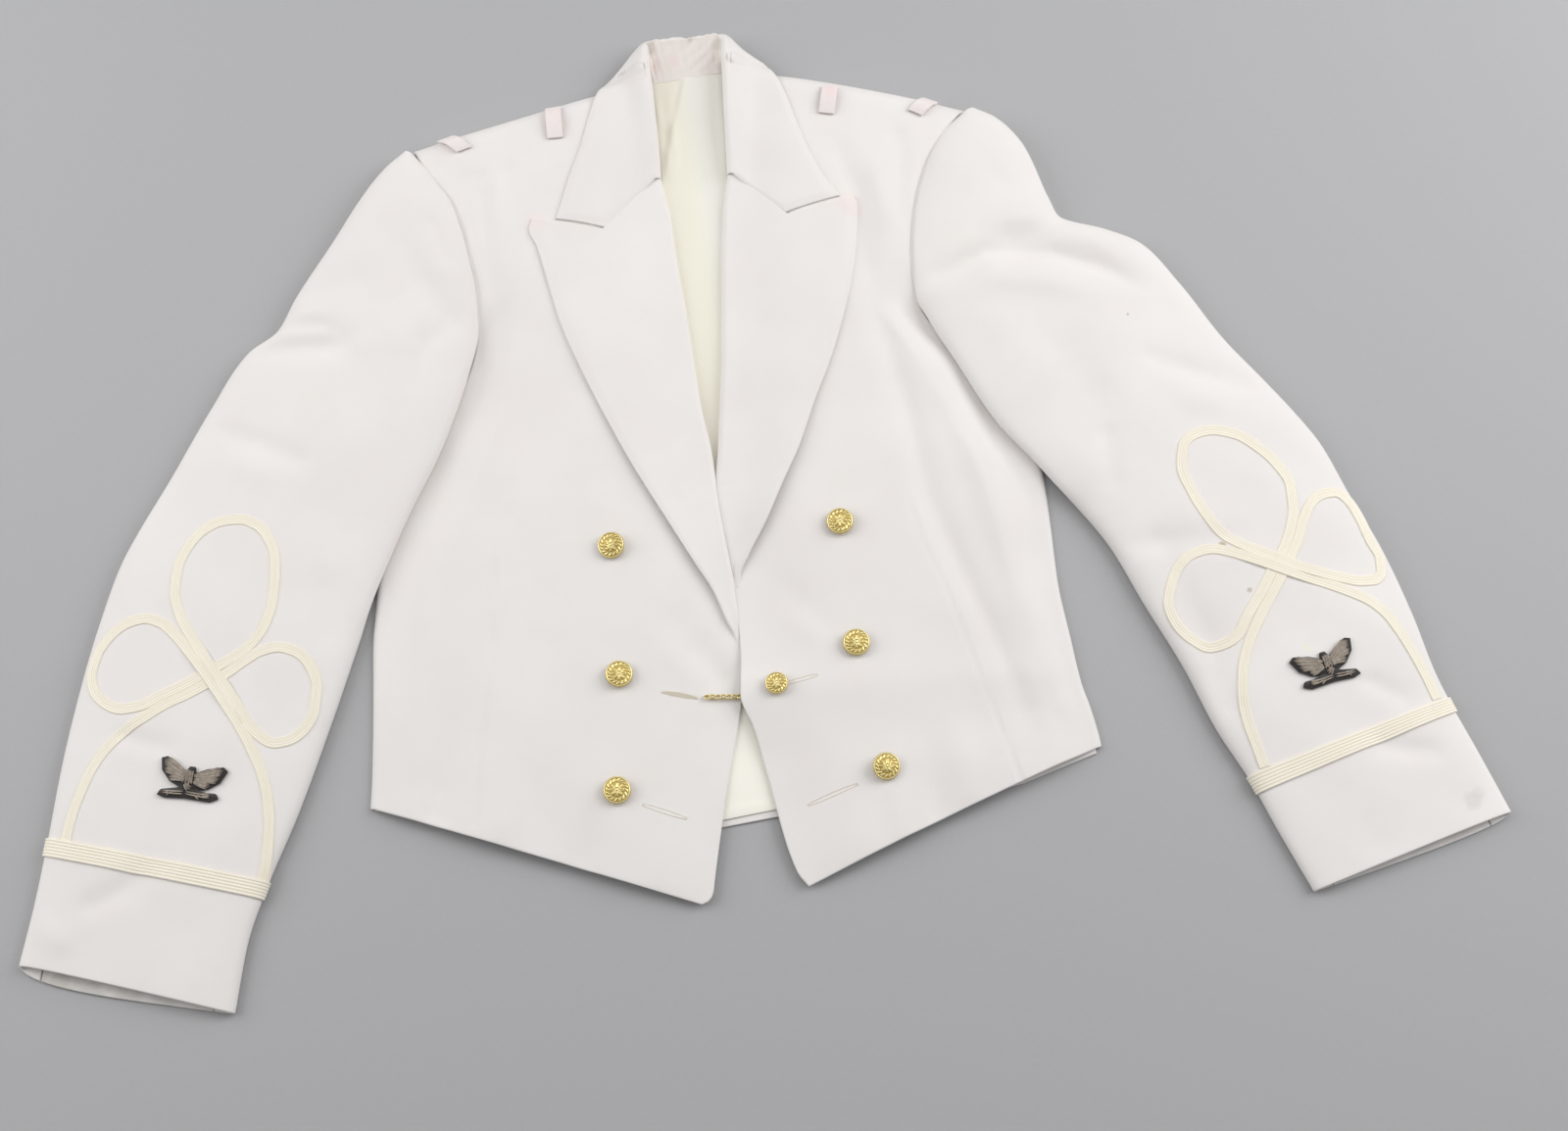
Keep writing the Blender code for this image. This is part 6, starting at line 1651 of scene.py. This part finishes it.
def chain_points(ground):
    """Every link at once: an oval in its own plane, a wire's ring round it, leaned and in line.

    A link is as high as what lies below it or below its neighbours needs, less a
    step for each link between.
    """
    start, end = np.array(BUTTONHOLE), np.array(CHAIN_END)
    way = unit(end - start)
    pitch = np.linalg.norm(end - start) / CHAIN_LINKS
    half_long, half_wide = LINK_LONG / 2 - LINK_WIRE / 2, LINK_WIDE / 2 - LINK_WIRE / 2
    count = np.arange(CHAIN_LINKS)
    spots = start + way * pitch * (count[:, None] + 0.5)
    needed = np.maximum(ground.heights(spots, 2.6) + GAP, LINING_Z + CHAIN_FLOOR)
    needed = needed + half_wide * math.sin(math.radians(CHAIN_LEAN)) + LINK_WIRE / 2
    levels = (needed[None] - CHAIN_STEP * np.abs(count[:, None] - count[None])).max(axis=1)
    lean = np.radians(np.where(count % 2, CHAIN_LEAN, -CHAIN_LEAN))[:, None, None]
    turn = np.arange(LINK_STEPS) / LINK_STEPS * 2 * math.pi
    oval = np.stack([half_long * np.cos(turn), half_wide * np.sin(turn)], -1)
    tangent = unit(np.stack([-half_long * np.sin(turn), half_wide * np.cos(turn)], -1))
    outward = np.stack([tangent[:, 1], -tangent[:, 0]], -1)
    ring = np.arange(WIRE_SIDES) / WIRE_SIDES * 2 * math.pi
    flat = oval[:, None] + outward[:, None] * (LINK_WIRE / 2 * np.cos(ring))[None, :, None]
    lift = LINK_WIRE / 2 * np.sin(ring)[None, :] + 0 * flat[..., 0]
    side = flat[None, ..., 1] * np.cos(lean) - lift[None] * np.sin(lean)
    up = flat[None, ..., 1] * np.sin(lean) + lift[None] * np.cos(lean)
    x = spots[:, None, None, 0] + flat[None, ..., 0] * way[0] - side * way[1]
    y = spots[:, None, None, 1] + flat[None, ..., 0] * way[1] + side * way[0]
    return np.stack([x, y, levels[:, None, None] + up], -1)


links = chain_points(chest["right"])
link_points = LINK_STEPS * WIRE_SIDES
ring_faces = quads(LINK_STEPS + 1, WIRE_SIDES, wrap=True) % link_points
first = np.arange(CHAIN_LINKS)[:, None, None] * link_points
faces = (first + ring_faces[None, :, ::-1]).reshape(-1, 4)
# Painted shade: the inner side of each link's wire, towards its hole, is darkened in the gilt
creases_and_shade = 0.6 - 0.42 * np.cos(np.arange(WIRE_SIDES) * 2 * math.pi / WIRE_SIDES)
creases_and_shade = np.tile(creases_and_shade, CHAIN_LINKS * LINK_STEPS)
add_mesh("gilt_chain", links.reshape(-1, 3), faces, np.stack([creases_and_shade, 0 * creases_and_shade], -1), gilt,
         [f"chain_{number}" for number in range(1, CHAIN_LINKS + 1)])


# The photographer's sweep and lights: a plain pale floor, broad soft lamps to the
# left, right and top, and a camera with a normal lens, tilted 18 degrees from
# straight down.
CAMERA_AT = (7.285, -535.8, 1479.4)
CAMERA_TILT = 18
FLOOR_HALF = 4
FLOOR_LEVEL = -0.0005
ROOM_LIGHT = 0.27
# Each lamp's place and size in metres, and its power in watts
LAMPS = (
    ("lamp_left", (-1.6, 0.25, 1.1), 1.5, 20),
    ("lamp_right", (1.6, 0.6, 1.2), 1.5, 29.5),
    ("lamp_top", (0, 0.8, 2.0), 1.6, 10.5),
)


def matt_floor(name):
    """Painted board: one pale grey with the faintest grain."""
    made, place, _, shader = finish(name, Roughness=0.9)
    grain = place.noise(300, 3.0)
    feed(shader, Base_Color=grain.mix((0.40, 0.40, 0.41, 1), (0.42, 0.42, 0.43, 1)),
         Normal=grain.raised(0.0003, 0.2))
    return made


floor_mesh = bpy.data.meshes.new("floor")
floor_mesh.from_pydata([(x * FLOOR_HALF, y * FLOOR_HALF, FLOOR_LEVEL)
                        for x, y in ((-1, -1), (1, -1), (1, 1), (-1, 1))], [], [(0, 1, 2, 3)])
floor = placed("floor", floor_mesh)
floor_mesh.materials.append(matt_floor("matt_floor"))

for name, at, size, power in LAMPS:
    light = bpy.data.lights.new(name, "AREA")
    light.shape, light.size, light.energy = "SQUARE", size, power
    lamp = placed(name, light)
    lamp.location = at
    away = np.array(at)
    lamp.rotation_euler = (math.acos(away[2] / np.linalg.norm(away)), 0,
                           math.atan2(away[1], away[0]) + math.pi / 2)
world = bpy.data.worlds.new("soft_room")
world.use_nodes = True
room = world.node_tree.nodes["Background"].inputs
room["Color"].default_value, room["Strength"].default_value = (1, 1, 1, 1), ROOM_LIGHT
bpy.context.scene.world = world

# Plain print tones, which keep the whites apart
bpy.context.scene.view_settings.view_transform = "Standard"
camera_data = bpy.data.cameras.new("camera")
camera_data.lens, camera_data.sensor_width = 50, 36
camera = placed("camera", camera_data)
camera.location = [value * MM for value in CAMERA_AT]
camera.rotation_euler = (math.radians(CAMERA_TILT), 0, 0)
bpy.context.scene.camera = camera
